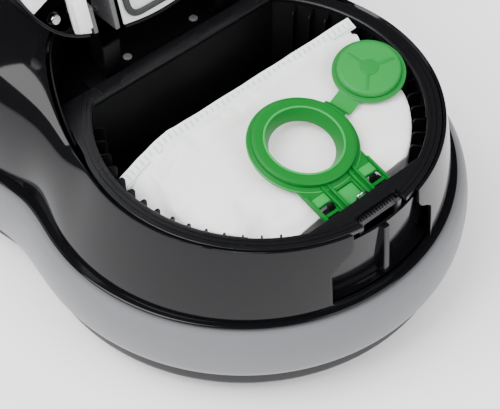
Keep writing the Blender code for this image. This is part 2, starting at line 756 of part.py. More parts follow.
def make_lid_shell():
    angles = [lid_angle(k) for k in range(LID_COLUMNS)]
    rows = [[lid_point(phi, 1.0, 0.0009) for phi in angles],
            [lid_point(phi, 1.0, lid_edge(phi) - 0.0022) for phi in angles]]
    for t in (0.985, 0.92, 0.78, 0.50):
        rows.append([lid_point(phi, t, lid_top(phi, t)) for phi in angles])
    lid = sheet("lid_shell", rows, 0.0020, GLOSS_BLACK, loop=True, centre=at(0.0, 0.0, LID_HEIGHT))
    for name, side in hinge_sides():
        y0, y1 = sorted((side * 0.0315, side * 0.0598))
        cut(lid, box(f"lid_notch_{name}", at(-0.160, y0, -0.010), at(-0.1150, y1, 0.050), GLOSS_BLACK))
        boss = rod(f"lid_boss_{name}", at(-0.1070, side * 0.0800, 0.0075),
                   at(-0.1070, side * 0.0800, 0.0255), 0.0050, GLOSS_BLACK, 20)
        join(lid, boss)
    bore = rod("neck_bore", at(*NECK, 0.0), at(*NECK, 0.060), 0.0262, GLOSS_BLACK, 40)
    finger = box("latch_notch", at(0.1150, -0.0130, -0.010), at(0.1400, 0.0130, 0.0120), GLOSS_BLACK)
    return cut(lid, bore, finger)


def panel_radius(phi):
    return lid_radius(phi) - 0.0026


def make_lid_panel():
    """The white inner panel: a flat margin round a raised pocket over the bag and its collar."""
    angles = [lid_angle(k) for k in range(LID_COLUMNS)]

    def ring(shrink, z, rear):
        points = []
        for phi in angles:
            radius = panel_radius(phi) - shrink
            x = max(radius * math.cos(phi), rear)
            points.append(at(x, radius * math.sin(phi), z))
        return points

    rows = [ring(0.0, 0.0026, -1.0), ring(0.0060, 0.0026, -0.0690), ring(0.0100, 0.0110, -0.0660),
            ring(0.0200, 0.0205, -0.0600), ring(0.0500, 0.0219, -0.0450)]
    panel = sheet("lid_panel", rows, 0.0014, WHITE, loop=True, centre=at(0.020, 0.0, 0.0219))
    for name, side in hinge_sides():
        y0, y1 = sorted((side * 0.0320, side * 0.0580))
        cut(panel, box(f"panel_notch_{name}", at(-0.160, y0, -0.010), at(-0.0700, y1, 0.030), WHITE))
        y0, y1 = sorted((side * 0.0585, side * 0.0690))
        near = box(f"panel_rib_near_{name}", at(-0.1215, y0, -0.0040), at(-0.0985, y1, 0.0060), WHITE)
        far = box(f"panel_rib_far_{name}", at(-0.1000, y0, 0.0008), at(-0.0700, y1, 0.0060), WHITE)
        corner = [(-0.0830, side * 0.0700), (-0.1260, side * 0.0700), (-0.0950, side * 0.1010)]
        well = plate(f"panel_corner_{name}", [(BOWL_X + x, y) for x, y in corner], 0.030, WHITE)
        well.location.z = RIM_Z + 0.005
        cut(panel, well)
        join(panel, near, far)
    bore = rod("panel_bore", at(*NECK, 0.0), at(*NECK, 0.060), 0.0262, WHITE, 40)
    finger = box("panel_latch_notch", at(0.1030, -0.0140, -0.010), at(0.1400, 0.0140, 0.0105), WHITE)
    return cut(panel, bore, finger)


def make_lid_gasket():
    """A rounded seal on the panel's rear margin, between the hinges."""
    outer = rounded([(-0.1330, -0.0290), (-0.1330, 0.0290), (-0.0930, 0.0310), (-0.0930, -0.0310)], 0.0120)
    inner = rounded([(-0.1290, -0.0245), (-0.1290, 0.0245), (-0.0970, 0.0265), (-0.0970, -0.0265)], 0.0085)
    seal = plate("lid_gasket", [(BOWL_X + x, y) for x, y in outer], 0.0030, RUBBER,
                 holes=([(BOWL_X + x, y) for x, y in inner],))
    seal.location.z = RIM_Z - 0.0006
    return seal


def make_hinge_arms():
    """Each arm is a fork: two side plates about the knuckle, joined by a web under the lid's roof."""
    for name, side in hinge_sides():
        hub = [(HINGE[0] + 0.0042 * math.cos(a), HINGE[2] + 0.0042 * math.sin(a))
               for a in [math.radians(85 + 19 * k) for k in range(7)]]
        inner = hub + [(-0.1365, 0.0030), (-0.1000, 0.0016), (-0.0740, 0.0016), (-0.0740, 0.0065),
                       (-0.1020, 0.0175), (-0.1080, 0.0230)]
        outer = hub + [(-0.1300, 0.0016), (-0.1100, 0.0016), (-0.1040, 0.0150), (-0.1080, 0.0230)]
        arm = plate(f"hinge_arm_{name}", inner, 0.0040, DARK_GREY, upright=True)
        arm.location = at(0.0, side * 0.0365, 0.0)
        cheek = plate(f"arm_cheek_{name}", outer, 0.0036, DARK_GREY, upright=True)
        cheek.location = at(0.0, side * 0.0542, 0.0)
        y0, y1 = sorted((side * 0.0347, side * 0.0558))
        web = box(f"arm_web_{name}", at(-0.1140, y0, 0.0195), at(-0.1060, y1, 0.0220), DARK_GREY)
        join(arm, web, cheek)
        cut(arm, rod(f"arm_bore_{name}", at(HINGE[0], side * 0.028, HINGE[2]),
                     at(HINGE[0], side * 0.062, HINGE[2]), 0.0024, DARK_GREY, 16))


def make_lid_screws():
    for name, side in hinge_sides():
        low = at(-0.1070, side * 0.0800, 0.0030)
        head = turned(f"lid_screw_{name}", [(0.0000, 0.0000), (0.0030, 0.0004), (0.0038, 0.0014), (0.0038, 0.0026),
                                            (0.0016, 0.0026), (0.0016, 0.0040), (0.0000, 0.0040)][::-1],
                      STEEL, steps=20, closed=False)
        head.location = low


def make_hose_neck():
    """The neck in the lid that carries the swivel, with a stub that meets the bag's mouth."""
    neck = turned("hose_neck", [(0.0258, 0.0520), (0.0258, 0.0400), (0.0320, 0.0400), (0.0320, 0.0374),
                                (0.0258, 0.0374), (0.0258, 0.0160), (0.0205, 0.0125), (0.0190, 0.0125),
                                (0.0235, 0.0165), (0.0235, 0.0520)], SATIN_BLACK, steps=20)
    neck.location = at(*NECK, 0.0)
    return neck


def make_hose_swivel():
    """The ring that a hose's end clicks into; it turns freely on the neck."""
    ring = turned("hose_swivel", [(0.0330, 0.0580), (0.0340, 0.0560), (0.0340, 0.0440), (0.0320, 0.0412),
                                  (0.0262, 0.0412), (0.0262, 0.0528), (0.0215, 0.0528), (0.0215, 0.0580)],
                  DARK_GREY, steps=20)
    ring.location = at(*NECK, 0.0)
    for k in range(2):
        grip = box(f"swivel_grip_{k}", (-0.0030, 0.0325, 0.0440), (0.0030, 0.0365, 0.0560), DARK_GREY)
        grip.matrix_world = (Matrix.Translation(at(*NECK, 0.0)) @ Matrix.Rotation(math.pi * k, 4, "Z")
                             @ Matrix.Translation(grip.location))
        join(ring, grip)
    return ring


def make_latch_lever():
    """The sprung lever in the lid's nose whose hook snaps under the catch bar."""
    shape = [(0.1130, 0.0078), (0.1238, 0.0078), (0.1238, 0.0030), (0.1195, 0.0030), (0.1190, -0.0095),
             (0.1180, -0.0115), (0.1170, -0.0095), (0.1170, 0.0030), (0.1130, 0.0040)]
    lever = plate("latch_lever", [(BOWL_X + x, z) for x, z in shape], 0.022, SATIN_BLACK, upright=True)
    lever.location.z = RIM_Z
    return lever


# ---- Works inside the rear ------------------------------------------------------------------------
def along_x(thing, place):
    """Lays a piece turned about Z along the machine, its top to the front."""
    thing.rotation_euler.y = math.pi / 2
    thing.location = place
    return thing


def make_motor():
    can = turned("motor_housing", [(0.0330, 0.0400), (0.0440, 0.0380), (MOTOR_R, 0.0300), (MOTOR_R, -0.0300),
                                   (0.0400, -0.0400), (0.0200, -0.0430), (0.0060, -0.0430), (0.0060, -0.0410),
                                   (0.0200, -0.0410), (0.0390, -0.0380), (0.0440, -0.0290), (0.0440, 0.0290),
                                   (0.0425, 0.0362), (0.0330, 0.0380)], ALUMINIUM, steps=18)
    along_x(can, MOTOR)
    for name, x, radius in (("motor_mount_front", 0.0180, MOTOR_R), ("motor_mount_rear", -0.0180, MOTOR_R)):
        ring = turned(name, [(radius + 0.0050, 0.0040), (radius + 0.0050, -0.0040), (radius + GAP, -0.0040),
                             (radius + GAP, 0.0040)], RUBBER, steps=18)
        along_x(ring, Vector(MOTOR) + Vector((x, 0.0, 0.0)))
    rod("motor_shaft", Vector(MOTOR) - Vector((0.0490, 0.0, 0.0)), Vector(MOTOR) + Vector((0.0340, 0.0, 0.0)),
        0.0040, STEEL, 14)
    fan = turned("impeller", [(0.0080, 0.0300), (0.0120, 0.0250), (0.0380, 0.0180), (0.0380, 0.0160),
                              (0.0043, 0.0160), (0.0043, 0.0300)], DARK_GREY, steps=18)
    for k in range(7):
        blade = box(f"blade_{k}", (0.0090, -0.0006, 0.0172), (0.0370, 0.0006, 0.0270), DARK_GREY)
        blade.matrix_world = Matrix.Rotation(math.tau * k / 7, 4, "Z") @ Matrix.Translation(blade.location)
        blade.matrix_world = (Matrix.Translation(MOTOR) @ Matrix.Rotation(math.pi / 2, 4, "Y")
                              @ blade.matrix_world)
        join(fan, blade)
    along_x(fan, MOTOR)


def make_filter_cassette():
    outer = rounded([(-0.052, -0.036), (0.052, -0.036), (0.052, 0.036), (-0.052, 0.036)], 0.008)
    inner = rounded([(-0.046, -0.030), (0.046, -0.030), (0.046, 0.030), (-0.046, 0.030)], 0.006)
    frame = plate("filter_frame", outer, 0.0060, DARK_GREY, holes=(inner,))
    frame.rotation_euler = (math.pi / 2, 0.0, math.pi / 2)
    frame.location = at(-0.0880, 0.0, -0.0560)
    pad = plate("pre_motor_filter", rounded([(-0.0455, -0.0295), (0.0455, -0.0295), (0.0455, 0.0295),
                                             (-0.0455, 0.0295)], 0.006), 0.0050, FOAM)
    pad.rotation_euler = frame.rotation_euler
    pad.location = frame.location


def make_exhaust():
    """A round grille let into the rear cover, over a disc of filter."""
    frame = cover_frame(*VENT)
    grille = turned("exhaust_grille", [(VENT_R, 0.0012), (VENT_R, -0.0040), (VENT_R - 0.003, -0.0040),
                                       (VENT_R - 0.003, 0.0012)], GLOSS_BLACK, steps=24)
    grille.matrix_world = frame
    bars = [box("grille_spine", (-0.0018, 0.0010 - VENT_R, -0.0040), (0.0018, VENT_R - 0.0010, -0.0012),
                GLOSS_BLACK)]
    for k in range(5):
        y = -0.0240 + 0.0120 * k
        half = math.sqrt((VENT_R - 0.0014) ** 2 - y * y)
        bars.append(box(f"slat_{k}", (-half, y - 0.0012, -0.0034), (half, y + 0.0012, 0.0006), GLOSS_BLACK))
    for bar in bars:
        bar.matrix_world = frame @ Matrix.Translation(bar.location)
        join(grille, bar)
    pad = rod("exhaust_filter", (0.0, 0.0, -0.0200), (0.0, 0.0, -0.0060), VENT_R - 0.0020, WHITE, 20)
    pad.matrix_world = frame @ Matrix.Translation((0.0, 0.0, -0.0130))


def make_reel():
    drum = turned("cord_reel", [(REEL_R, 0.0500), (REEL_R, 0.0480), (0.0240, 0.0480), (0.0240, 0.0060),
                                (REEL_R, 0.0060), (REEL_R, 0.0040), (0.0056, 0.0040), (0.0056, 0.0500)],
                  DARK_GREY, steps=20)
    drum.location = REEL
    post = turned("reel_axle", [(0.0000, 0.0530), (0.0052, 0.0530), (0.0052, -0.0130), (0.0090, -0.0130),
                                (0.0090, -0.0145), (0.0000, -0.0145)], STEEL, steps=14, closed=False)
    post.location = REEL


def make_cord_gland():
    """The bush in the rear wall where the mains cord leaves."""
    gland = turned("cord_gland", [(0.0090, 0.0100), (0.0090, 0.0030), (0.0125, 0.0030), (0.0125, 0.0008),
                                  (0.0112, 0.0000), (0.0052, 0.0000), (0.0045, 0.0010), (0.0045, 0.0100)],
                   RUBBER, steps=16)
    gland.rotation_euler.y = math.pi / 2
    gland.location = (-0.2375, 0.0, CORD_Z)


def make_control_board():
    return box("control_board", (-0.095, -0.100, 0.060), (-0.025, -0.098, 0.105), BOARD)


# ---- Handle and buttons -----------------------------------------------------------------------------
def make_handle():
    """A bail round the exhaust grille; it lies along the rear cover and swings up to carry."""
    x, y = HANDLE_PIVOT
    corner = 0.016
    path = [(x - 0.004, y), (x - HANDLE_REACH * 0.45, y), (x - HANDLE_REACH + corner, y)]
    for k in range(1, 5):
        turn = math.pi / 2 * k / 4
        path.append((x - HANDLE_REACH + corner - corner * math.sin(turn), y - corner + corner * math.cos(turn)))
    path += [(px, -py) for px, py in reversed(path)]
    drop = (handle_z() - cover_height(x - HANDLE_REACH, y) - 0.0120) / HANDLE_REACH
    points = [(px, py, handle_z() - (x - px) * drop) for px, py in path]
    bail = tube("carry_handle", points, 0.0045, SATIN_BLACK, sides=2)
    for name, side in hinge_sides():
        low, high = sorted((side * (y - 0.0045), side * (y + 0.0045)))
        join(bail, rod(f"bail_eye_{name}", (x, low, handle_z()), (x, high, handle_z()), 0.0062, SATIN_BLACK, 20))
        cut(bail, rod(f"bail_bore_{name}", (x, side * (y - 0.010), handle_z()), (x, side * (y + 0.010), handle_z()),
                      0.0024, SATIN_BLACK, 14))
        rod(f"handle_pin_{name}", (x, side * (y - 0.0130), handle_z()), (x, side * (y + 0.0052), handle_z()),
            0.0021, STEEL, 12)


def make_buttons():
    for name, place in BUTTONS.items():
        cap = turned(name, [(0.0000, 0.0058), (0.0100, 0.0055), (0.0122, 0.0046), (BUTTON_R, 0.0030),
                            (BUTTON_R, -0.0060), (0.0000, -0.0060)], DARK_GREY, steps=16, closed=False)
        cap.matrix_world = cover_frame(*place)


# ---- Castors -----------------------------------------------------------------------------------------
def make_castor(name, x, y):
    """A round fork that swivels in its cup, with a wheel on an axle behind the swivel's axis."""
    swivel = bpy.data.objects.new(f"swivel_{name}", None)
    PARTS.objects.link(swivel)
    swivel.location = (x, y, 0.0)
    axle_x = -TRAIL
    fork = turned(f"castor_fork_{name}", [(0.0000, 0.0440), (0.0040, 0.0440), (0.0040, CUP_Z - 0.0006),
                                          (0.0200, CUP_Z - 0.0006), (0.0255, 0.0360), (0.0262, 0.0200),
                                          (0.0240, 0.0060), (0.0000, 0.0060)], SATIN_BLACK, steps=16, closed=False)
    slot = box(f"fork_slot_{name}", (axle_x - 0.0170, -0.0082, -0.0010), (axle_x + 0.0170, 0.0082, 0.0325),
               SATIN_BLACK)
    bore = rod(f"fork_bore_{name}", (axle_x, -0.0180, WHEEL_R), (axle_x, 0.0180, WHEEL_R), 0.0023, SATIN_BLACK, 14)
    axle = rod(f"castor_axle_{name}", (axle_x, -0.0170, WHEEL_R), (axle_x, 0.0170, WHEEL_R), 0.0020, STEEL, 12)
    wheel = turned(f"castor_wheel_{name}", [(0.0130, 0.0070), (WHEEL_R, 0.0045), (WHEEL_R, -0.0045),
                                            (0.0130, -0.0070), (0.0024, -0.0070), (0.0024, 0.0070)],
                   RUBBER, steps=20)
    wheel.rotation_euler.x = math.pi / 2
    wheel.location = (axle_x, 0.0, WHEEL_R)
    for piece in (fork, slot, bore, axle, wheel):
        piece.parent = swivel
    return cut(fork, slot, bore)


# ---- Assembly -----------------------------------------------------------------------------------------
def open_lid(names):
    """Hangs the lid's pieces, modelled shut, on the hinge and turns it open."""
    hinge = bpy.data.objects.new("lid_hinge", None)
    PARTS.objects.link(hinge)
    hinge.location = at(*HINGE)
    for thing in list(bpy.data.objects):
        root = thing.name.split(".")[0]
        if thing is not hinge and root in names:
            thing.parent = hinge
            thing.matrix_parent_inverse = Matrix.Translation(at(*HINGE)).inverted()
    hinge.rotation_euler.y = -LID_OPEN
    return hinge


def main():
    make_base_pan()
    make_bumper()
    make_upper_shell()
    make_rim_deck()
    make_bag_tub()
    make_recess_panel()
    make_hinge_carrier()
    make_hinge_pins()
    make_catch_bar()
    make_collar()
    make_cap()
    make_cradle()
    make_dust_bag()
    before = set(bpy.data.objects.keys())
    make_lid_shell()
    make_lid_panel()
    make_lid_gasket()
    make_hinge_arms()
    make_lid_screws()
    make_hose_neck()
    make_hose_swivel()
    make_latch_lever()
    open_lid(set(bpy.data.objects.keys()) - before)
    make_motor()
    make_filter_cassette()
    make_exhaust()
    make_reel()
    make_cord_gland()
    make_control_board()
    make_handle()
    make_buttons()
    for name, (x, y) in CASTORS.items():
        make_castor(name, x, y)


main()
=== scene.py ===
"""A cylinder vacuum cleaner with its lid open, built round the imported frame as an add-on.

Pieces are modelled with the lid shut and the bowl's centre at x 0.106, rim at z 0.140.
"""

import json
import math
from collections import namedtuple

import bmesh
import bpy
from bpy.props import FloatProperty, FloatVectorProperty, IntProperty, PointerProperty
from mathutils import Matrix, Vector, noise


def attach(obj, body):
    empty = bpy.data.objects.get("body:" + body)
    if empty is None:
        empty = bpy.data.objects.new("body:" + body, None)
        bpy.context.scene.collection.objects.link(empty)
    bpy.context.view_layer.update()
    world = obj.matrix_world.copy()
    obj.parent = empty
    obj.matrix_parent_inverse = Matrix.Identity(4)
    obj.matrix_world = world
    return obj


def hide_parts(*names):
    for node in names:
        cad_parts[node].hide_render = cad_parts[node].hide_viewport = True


bl_info = {
    "name": "Cylinder Vacuum Cleaner",
    "version": (1, 0, 0),
    "blender": (4, 5, 0),
    "location": "View3D > Sidebar > Vacuum",
    "description": "Builds a cylinder vacuum cleaner with an open lid round its packed frame",
    "category": "Add Mesh",
}

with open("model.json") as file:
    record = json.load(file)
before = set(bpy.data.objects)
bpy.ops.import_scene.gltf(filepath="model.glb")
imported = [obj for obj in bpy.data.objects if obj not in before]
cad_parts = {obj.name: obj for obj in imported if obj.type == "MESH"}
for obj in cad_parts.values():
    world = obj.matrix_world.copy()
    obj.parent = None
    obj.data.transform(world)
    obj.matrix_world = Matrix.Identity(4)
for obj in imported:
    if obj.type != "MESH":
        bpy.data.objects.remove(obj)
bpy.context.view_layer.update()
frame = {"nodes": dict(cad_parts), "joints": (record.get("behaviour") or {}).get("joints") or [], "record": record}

# ---- Sizes shared with the frame ----------------------------------------------------------------
RIM_Z = 0.140
BOWL_X = 0.106
RIM_R = 0.126
OPENING_R = 0.113
PARTITION_X = -0.078
WELL_X = -0.0905
LEDGE_X = 0.102
TUB_DEPTH = 0.090
CREST = 0.028
SHELL = 0.0024
HINGE = (-0.128, 0.0, 0.0255)
LID_OPEN = math.radians(105)
NECK = (0.045, 0.0)
COLLAR = (0.045, 0.0, 0.005)
COLLAR_TILT = math.radians(10.8)
MOUTH_R = 0.0262
CAP = (0.022, 0.0815, -0.0005)
CAP_NORMAL = Vector((0.16, -0.14, 0.97)).normalized()
STRAP_HALF = 0.0085
VENT = (-0.150, 0.0)
VENT_R = 0.0360
BUTTONS = {"power_button": (-0.128, 0.066), "rewind_button": (-0.128, -0.066)}
BUTTON_R = 0.0130
HANDLE_PIVOT = (-0.088, 0.0450)
HANDLE_REACH = 0.104
CORD_Z = 0.100
BAG_TOP = 0.1298
BAG_REAR_RISE = 0.0102
BAG_WALL_GAP = 0.1034
BAG_RIM_GAP = 0.1115
BAG_FRONT = 0.0882
BAG_UNDER_COLLAR = (0.0420, -0.0112)
BAG_UNDER_CAP = (0.0300, -0.0048)
CLOTH_CELL = 0.0044
CLOTH_FRAMES = 20
CLOTH_REACH = 0.0070
WELD_HOLD = 0.0075
CASTORS = {"front_left": (0.160, 0.088), "front_right": (0.160, -0.088),
           "rear_left": (-0.150, 0.095), "rear_right": (-0.150, -0.095)}
CUP_R = 0.0270
CUP_Z = 0.042
WHEEL_R = 0.0150
TRAIL = 0.0085
Lobes = namedtuple("Lobes", "front_x front_r rear_x rear_length rear_half")
BUMPER = Lobes(0.090, 0.160, -0.079, 0.171, 0.160)
LIP = Lobes(0.090, 0.1505, -0.079, 0.161, 0.1505)
FOOT = Lobes(0.092, 0.145, -0.079, 0.156, 0.146)
LOBE_POWER = 2.6
WAIST_POWER = 12
FOOT_Z = RIM_Z - 0.0605
SIDES = (("left", 1), ("right", -1))


# ---- Settings -------------------------------------------------------------------------------------
class VacuumDetail(bpy.types.PropertyGroup):
    """How finely the round and repeated shapes are cut."""
    columns: IntProperty(name="Columns", description="Columns of the skin round the machine", default=288,
                         min=48)
    fins: IntProperty(name="Fins", description="Upright fins on each side wall of the compartment",
                      default=15,
                      min=2)
    crimps: IntProperty(name="Crimps", description="Pressed marks along the bag's welded edge", default=46,
                        min=2)
    stitches: IntProperty(name="Perforations", description="Small holes along the bag's weld", default=150,
                          min=2)
    slats: IntProperty(name="Slats", description="Slats of the exhaust grille", default=9, min=3)
    edge: FloatProperty(name="Edge rounding", description="Radius on moulded edges", default=0.0005,
                        min=0.0, subtype="DISTANCE", unit="LENGTH", precision=5)


class VacuumColours(bpy.types.PropertyGroup):
    """Base colours of the finishes."""
    gloss: FloatVectorProperty(name="Gloss black", description="Colour of the glossy covers", subtype="COLOR",
                               size=3, default=(0.0030, 0.0030, 0.0037), min=0.0, max=1.0)
    satin: FloatVectorProperty(name="Satin black", description="Colour of the moulded black pieces",
                               subtype="COLOR", size=3, default=(0.0042, 0.0041, 0.0052), min=0.0, max=1.0)
    belt: FloatVectorProperty(name="Bumper grey", description="Colour of the soft bumper", subtype="COLOR",
                              size=3, default=(0.118, 0.120, 0.129), min=0.0, max=1.0)
    green: FloatVectorProperty(name="Collar green", description="Colour of the bag's collar", subtype="COLOR",
                               size=3, default=(0.0, 0.138, 0.015), min=0.0, max=1.0)
    cap_green: FloatVectorProperty(name="Cap green", description="Colour of the bag's cap", subtype="COLOR",
                                   size=3, default=(0.009, 0.215, 0.036), min=0.0, max=1.0)
    fleece: FloatVectorProperty(name="Fleece white", description="Colour of the dust bag", subtype="COLOR",
                                size=3, default=(0.82, 0.82, 0.81), min=0.0, max=1.0)
    white: FloatVectorProperty(name="Panel white", description="Colour of the lid's inner panel",
                               subtype="COLOR", size=3, default=(0.74, 0.75, 0.74), min=0.0, max=1.0)


def detail():
    return bpy.context.scene.vacuum_detail


def colours():
    return bpy.context.scene.vacuum_colours


# ---- Mesh helpers ---------------------------------------------------------------------------------
def at(x, y, z):
    """A place measured from the rim's centre."""
    return Vector((BOWL_X + x, y, RIM_Z + z))


def add(name, mesh):
    thing = bpy.data.objects.new(name, mesh)
    bpy.context.scene.collection.objects.link(thing)
    return thing


def from_bm(name, bm, recalc=True):
    if recalc:
        bmesh.ops.recalc_face_normals(bm, faces=bm.faces)
    mesh = bpy.data.meshes.new(name)
    bm.to_mesh(mesh)
    bm.free()
    return add(name, mesh)


def smooth(thing, degrees=35):
    thing.data.shade_smooth()
    thing.data.set_sharp_from_angle(angle=math.radians(degrees))
    return thing


def baked(thing):
    """The thing with its modifiers and its place put into its mesh."""
    bpy.context.view_layer.update()
    graph = bpy.context.evaluated_depsgraph_get()
    mesh = bpy.data.meshes.new_from_object(thing.evaluated_get(graph), depsgraph=graph)
    mesh.transform(thing.matrix_world)
    name = thing.name
    bpy.data.objects.remove(thing)
    return add(name, mesh)


def joined(name, *things):
    """One piece from several, in order."""
    bm = bmesh.new()
    for thing in things:
        thing = baked(thing)
        bm.from_mesh(thing.data)
        bpy.data.objects.remove(thing)
    return from_bm(name, bm, recalc=False)


def carved(thing, *cutters):
    """The thing less its cutters."""
    for cutter in cutters:
        step = thing.modifiers.new("cut", "BOOLEAN")
        step.operation = "DIFFERENCE"
        step.object = cutter
    result = baked(thing)
    for cutter in cutters:
        bpy.data.objects.remove(cutter)
    return result


def rounded_edges(thing, width, segments=2, degrees=40):
    edge = thing.modifiers.new("edges", "BEVEL")
    edge.width = width
    edge.segments = segments
    edge.limit_method = "ANGLE"
    edge.angle_limit = math.radians(degrees)
    edge.use_clamp_overlap = True
    return thing


def loft(name, rings, caps=True, closed=False):
    """A skin over rings of equally many points: capped at its ends, or closed into a loop."""
    bm = bmesh.new()
    rows = [[bm.verts.new(point) for point in ring] for ring in rings]
    count = len(rows[0])
    pairs = list(zip(rows, rows[1:]))
    if closed:
        pairs.append((rows[-1], rows[0]))
    for lower, upper in pairs:
        for i in range(count):
            j = (i + 1) % count
            bm.faces.new((lower[i], lower[j], upper[j], upper[i]))
    if caps and not closed:
        bm.faces.new(rows[0])
        bm.faces.new(rows[-1])
    bmesh.ops.remove_doubles(bm, verts=bm.verts, dist=0.0000005)
    return smooth(from_bm(name, bm))


def sheet(name, rows, thickness, loop=False, centre=None):
    """An open skin over rows of points, thickened to the side that its faces turn away from."""
    bm = bmesh.new()
    grid = [[bm.verts.new(point) for point in row] for row in rows]
    count = len(grid[0])
    for lower, upper in zip(grid, grid[1:]):
        for i in range(count if loop else count - 1):
            j = (i + 1) % count
            bm.faces.new((lower[i], lower[j], upper[j], upper[i]))
    if centre is not None:
        tip = bm.verts.new(centre)
        for i in range(count):
            bm.faces.new((grid[-1][i], grid[-1][(i + 1) % count], tip))
    thing = smooth(from_bm(name, bm, recalc=False))
    solid = thing.modifiers.new("wall", "SOLIDIFY")
    solid.thickness = thickness
    solid.offset = -1.0
    solid.use_even_offset = True
    return thing


def softened(points, radius, steps=3, closed=True):
    """The same outline with its corners rounded."""
    result = []
    count = len(points)
    for i in range(count):
        here = Vector(points[i])
        if not closed and i in (0, count - 1):
            result.append(here)
            continue
        before = Vector(points[i - 1]) - here
        after = Vector(points[(i + 1) % count]) - here
        reach_back = min(radius, before.length * 0.45)
        reach_on = min(radius, after.length * 0.45)
        if before.length < 1e-7 or after.length < 1e-7 or before.angle(-after) < 0.15:
            result.append(here)
            continue
        start = here + before.normalized() * reach_back
        end = here + after.normalized() * reach_on
        for k in range(steps + 1):
            t = k / steps
            result.append(start * (1 - t) ** 2 + here * 2 * t * (1 - t) + end * t * t)
    return [tuple(p) for p in result]


def turned(name, profile, steps=72, closed=True, soft=0.0004, place=None):
    """A profile of (radius, height) turned about Z, its corners softened."""
    line = softened(profile, soft, closed=closed) if soft else profile
    rings = []
    for r, z in line:
        rings.append([Vector((r * math.cos(math.tau * k / steps), r * math.sin(math.tau * k / steps), z))
                      for k in range(steps)])
    thing = loft(name, rings, caps=False, closed=closed)
    if place is not None:
        thing.matrix_world = place
    return thing


def box(name, low, high, soft=0.0004):
    """A box between two corners with rounded edges."""
    low = Vector(low)
    high = Vector(high)
    bm = bmesh.new()
    bmesh.ops.create_cube(bm, size=1.0, matrix=Matrix.Translation((low + high) / 2)
                          @ Matrix.Diagonal((*(high - low), 1.0)))
    soft = min(soft, 0.3 * min(high - low))
    if soft > 0:
        bmesh.ops.bevel(bm, geom=list(bm.edges), offset=soft, segments=2, affect="EDGES", profile=0.5)
    return smooth(from_bm(name, bm))


def rod(name, start, end, radius, sides=32, soft=0.0003, tip=None):
    """A round bar between two points, its ends softened."""
    start = Vector(start)
    end = Vector(end)
    length = (end - start).length
    tip = radius if tip is None else tip
    profile = [(0.0, 0.0), (radius, 0.0), (tip, length), (0.0, length)]
    place = Matrix.Translation(start) @ (end - start).to_track_quat("Z", "Y").to_matrix().to_4x4()
    return turned(name, profile, sides, closed=False, soft=soft, place=place)


def curve_mesh(name, curve):
    source = bpy.data.objects.new(name, curve)
    bpy.context.scene.collection.objects.link(source)
    thing = baked(source)
    bm = bmesh.new()
    bm.from_mesh(thing.data)
    bmesh.ops.remove_doubles(bm, verts=bm.verts, dist=0.000001)
    bm.to_mesh(thing.data)
    bm.free()
    return smooth(thing)


def plate(name, outline, thickness, holes=(), upright=False, soft=0.0004):
    """A flat outline with holes, thickened to both sides, with rounded edges."""
    curve = bpy.data.curves.new(name, "CURVE")
    curve.dimensions = "2D"
    curve.fill_mode = "BOTH"
    soft = min(soft, thickness * 0.35)
    curve.extrude = thickness / 2 - soft
    curve.bevel_depth = soft
    curve.bevel_resolution = 2
    curve.offset = -soft
    for loop in (outline, *holes):
        spline = curve.splines.new("POLY")
        spline.points.add(len(loop) - 1)
        for point, (x, y) in zip(spline.points, loop):
            point.co = (x, y, 0.0, 1.0)
        spline.use_cyclic_u = True
    thing = curve_mesh(name, curve)
    if upright:
        thing.rotation_euler.x = math.pi / 2
    return thing


def line_curve(name, points, cyclic=False):
    curve = bpy.data.curves.new(name, "CURVE")
    curve.dimensions = "3D"
    spline = curve.splines.new("POLY")
    spline.points.add(len(points) - 1)
    for point, place in zip(spline.points, points):
        point.co = (*place, 1.0)
    spline.use_cyclic_u = cyclic
    return curve


def tube(name, points, radius, sides=6):
    """A round bar along a line of points, with filled ends."""
    curve = line_curve(name, points)
    curve.bevel_depth = radius
    curve.bevel_resolution = sides
    curve.use_fill_caps = True
    return curve_mesh(name, curve)


def eased(points, count):
    """A smooth line through points, by Catmull-Rom."""
    points = [Vector(p) for p in points]
    spans = len(points) - 1
    result = []
    for k in range(count):
        t = spans * k / (count - 1)
        i = min(int(t), spans - 1)
        f = t - i
        p0 = points[max(i - 1, 0)]
        p1 = points[i]
        p2 = points[i + 1]
        p3 = points[min(i + 2, spans)]
        result.append(0.5 * ((2 * p1) + (p2 - p0) * f + (2 * p0 - 5 * p1 + 4 * p2 - p3) * f * f
                             + (3 * p1 - p0 - 3 * p2 + p3) * f ** 3))
    return result


def lid_turn():
    """Turns what is modelled shut to the open lid's place."""
    hinge = Matrix.Translation(at(*HINGE))
    return hinge @ Matrix.Rotation(-LID_OPEN, 4, "Y") @ hinge.inverted()


def settle(thing, body, look, nodes=(), on_lid=False, degrees=35):
    """Ends a piece: its mesh is final, and it rides, replaces and takes its finish."""
    thing = baked(thing)
    if on_lid:
        thing.data.transform(lid_turn())
    smooth(thing, degrees)
    thing.data.materials.clear()
    thing.data.materials.append(bpy.data.materials[f"{look}_finish"])
    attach(thing, body)
    if nodes:
        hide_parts(*nodes)
    return thing


# ---- Outlines and surfaces of the machine ---------------------------------------------------------
def smoothstep(t):
    t = min(max(t, 0.0), 1.0)
    return t * t * (3 - 2 * t)


def inset(lobes, distance):
    return lobes._replace(front_r=lobes.front_r - distance, rear_length=lobes.rear_length - distance,
                          rear_half=lobes.rear_half - distance)


def half_width(lobes, x):
    across = 1 - ((x - lobes.front_x) / lobes.front_r) ** 2
    front = lobes.front_r * math.sqrt(max(across, 0.0))
    along = 1 - (abs(x - lobes.rear_x) / lobes.rear_length) ** LOBE_POWER
    rear = lobes.rear_half * max(along, 0.0) ** (1 / LOBE_POWER)
    return (front ** WAIST_POWER + rear ** WAIST_POWER) ** (1 / WAIST_POWER)


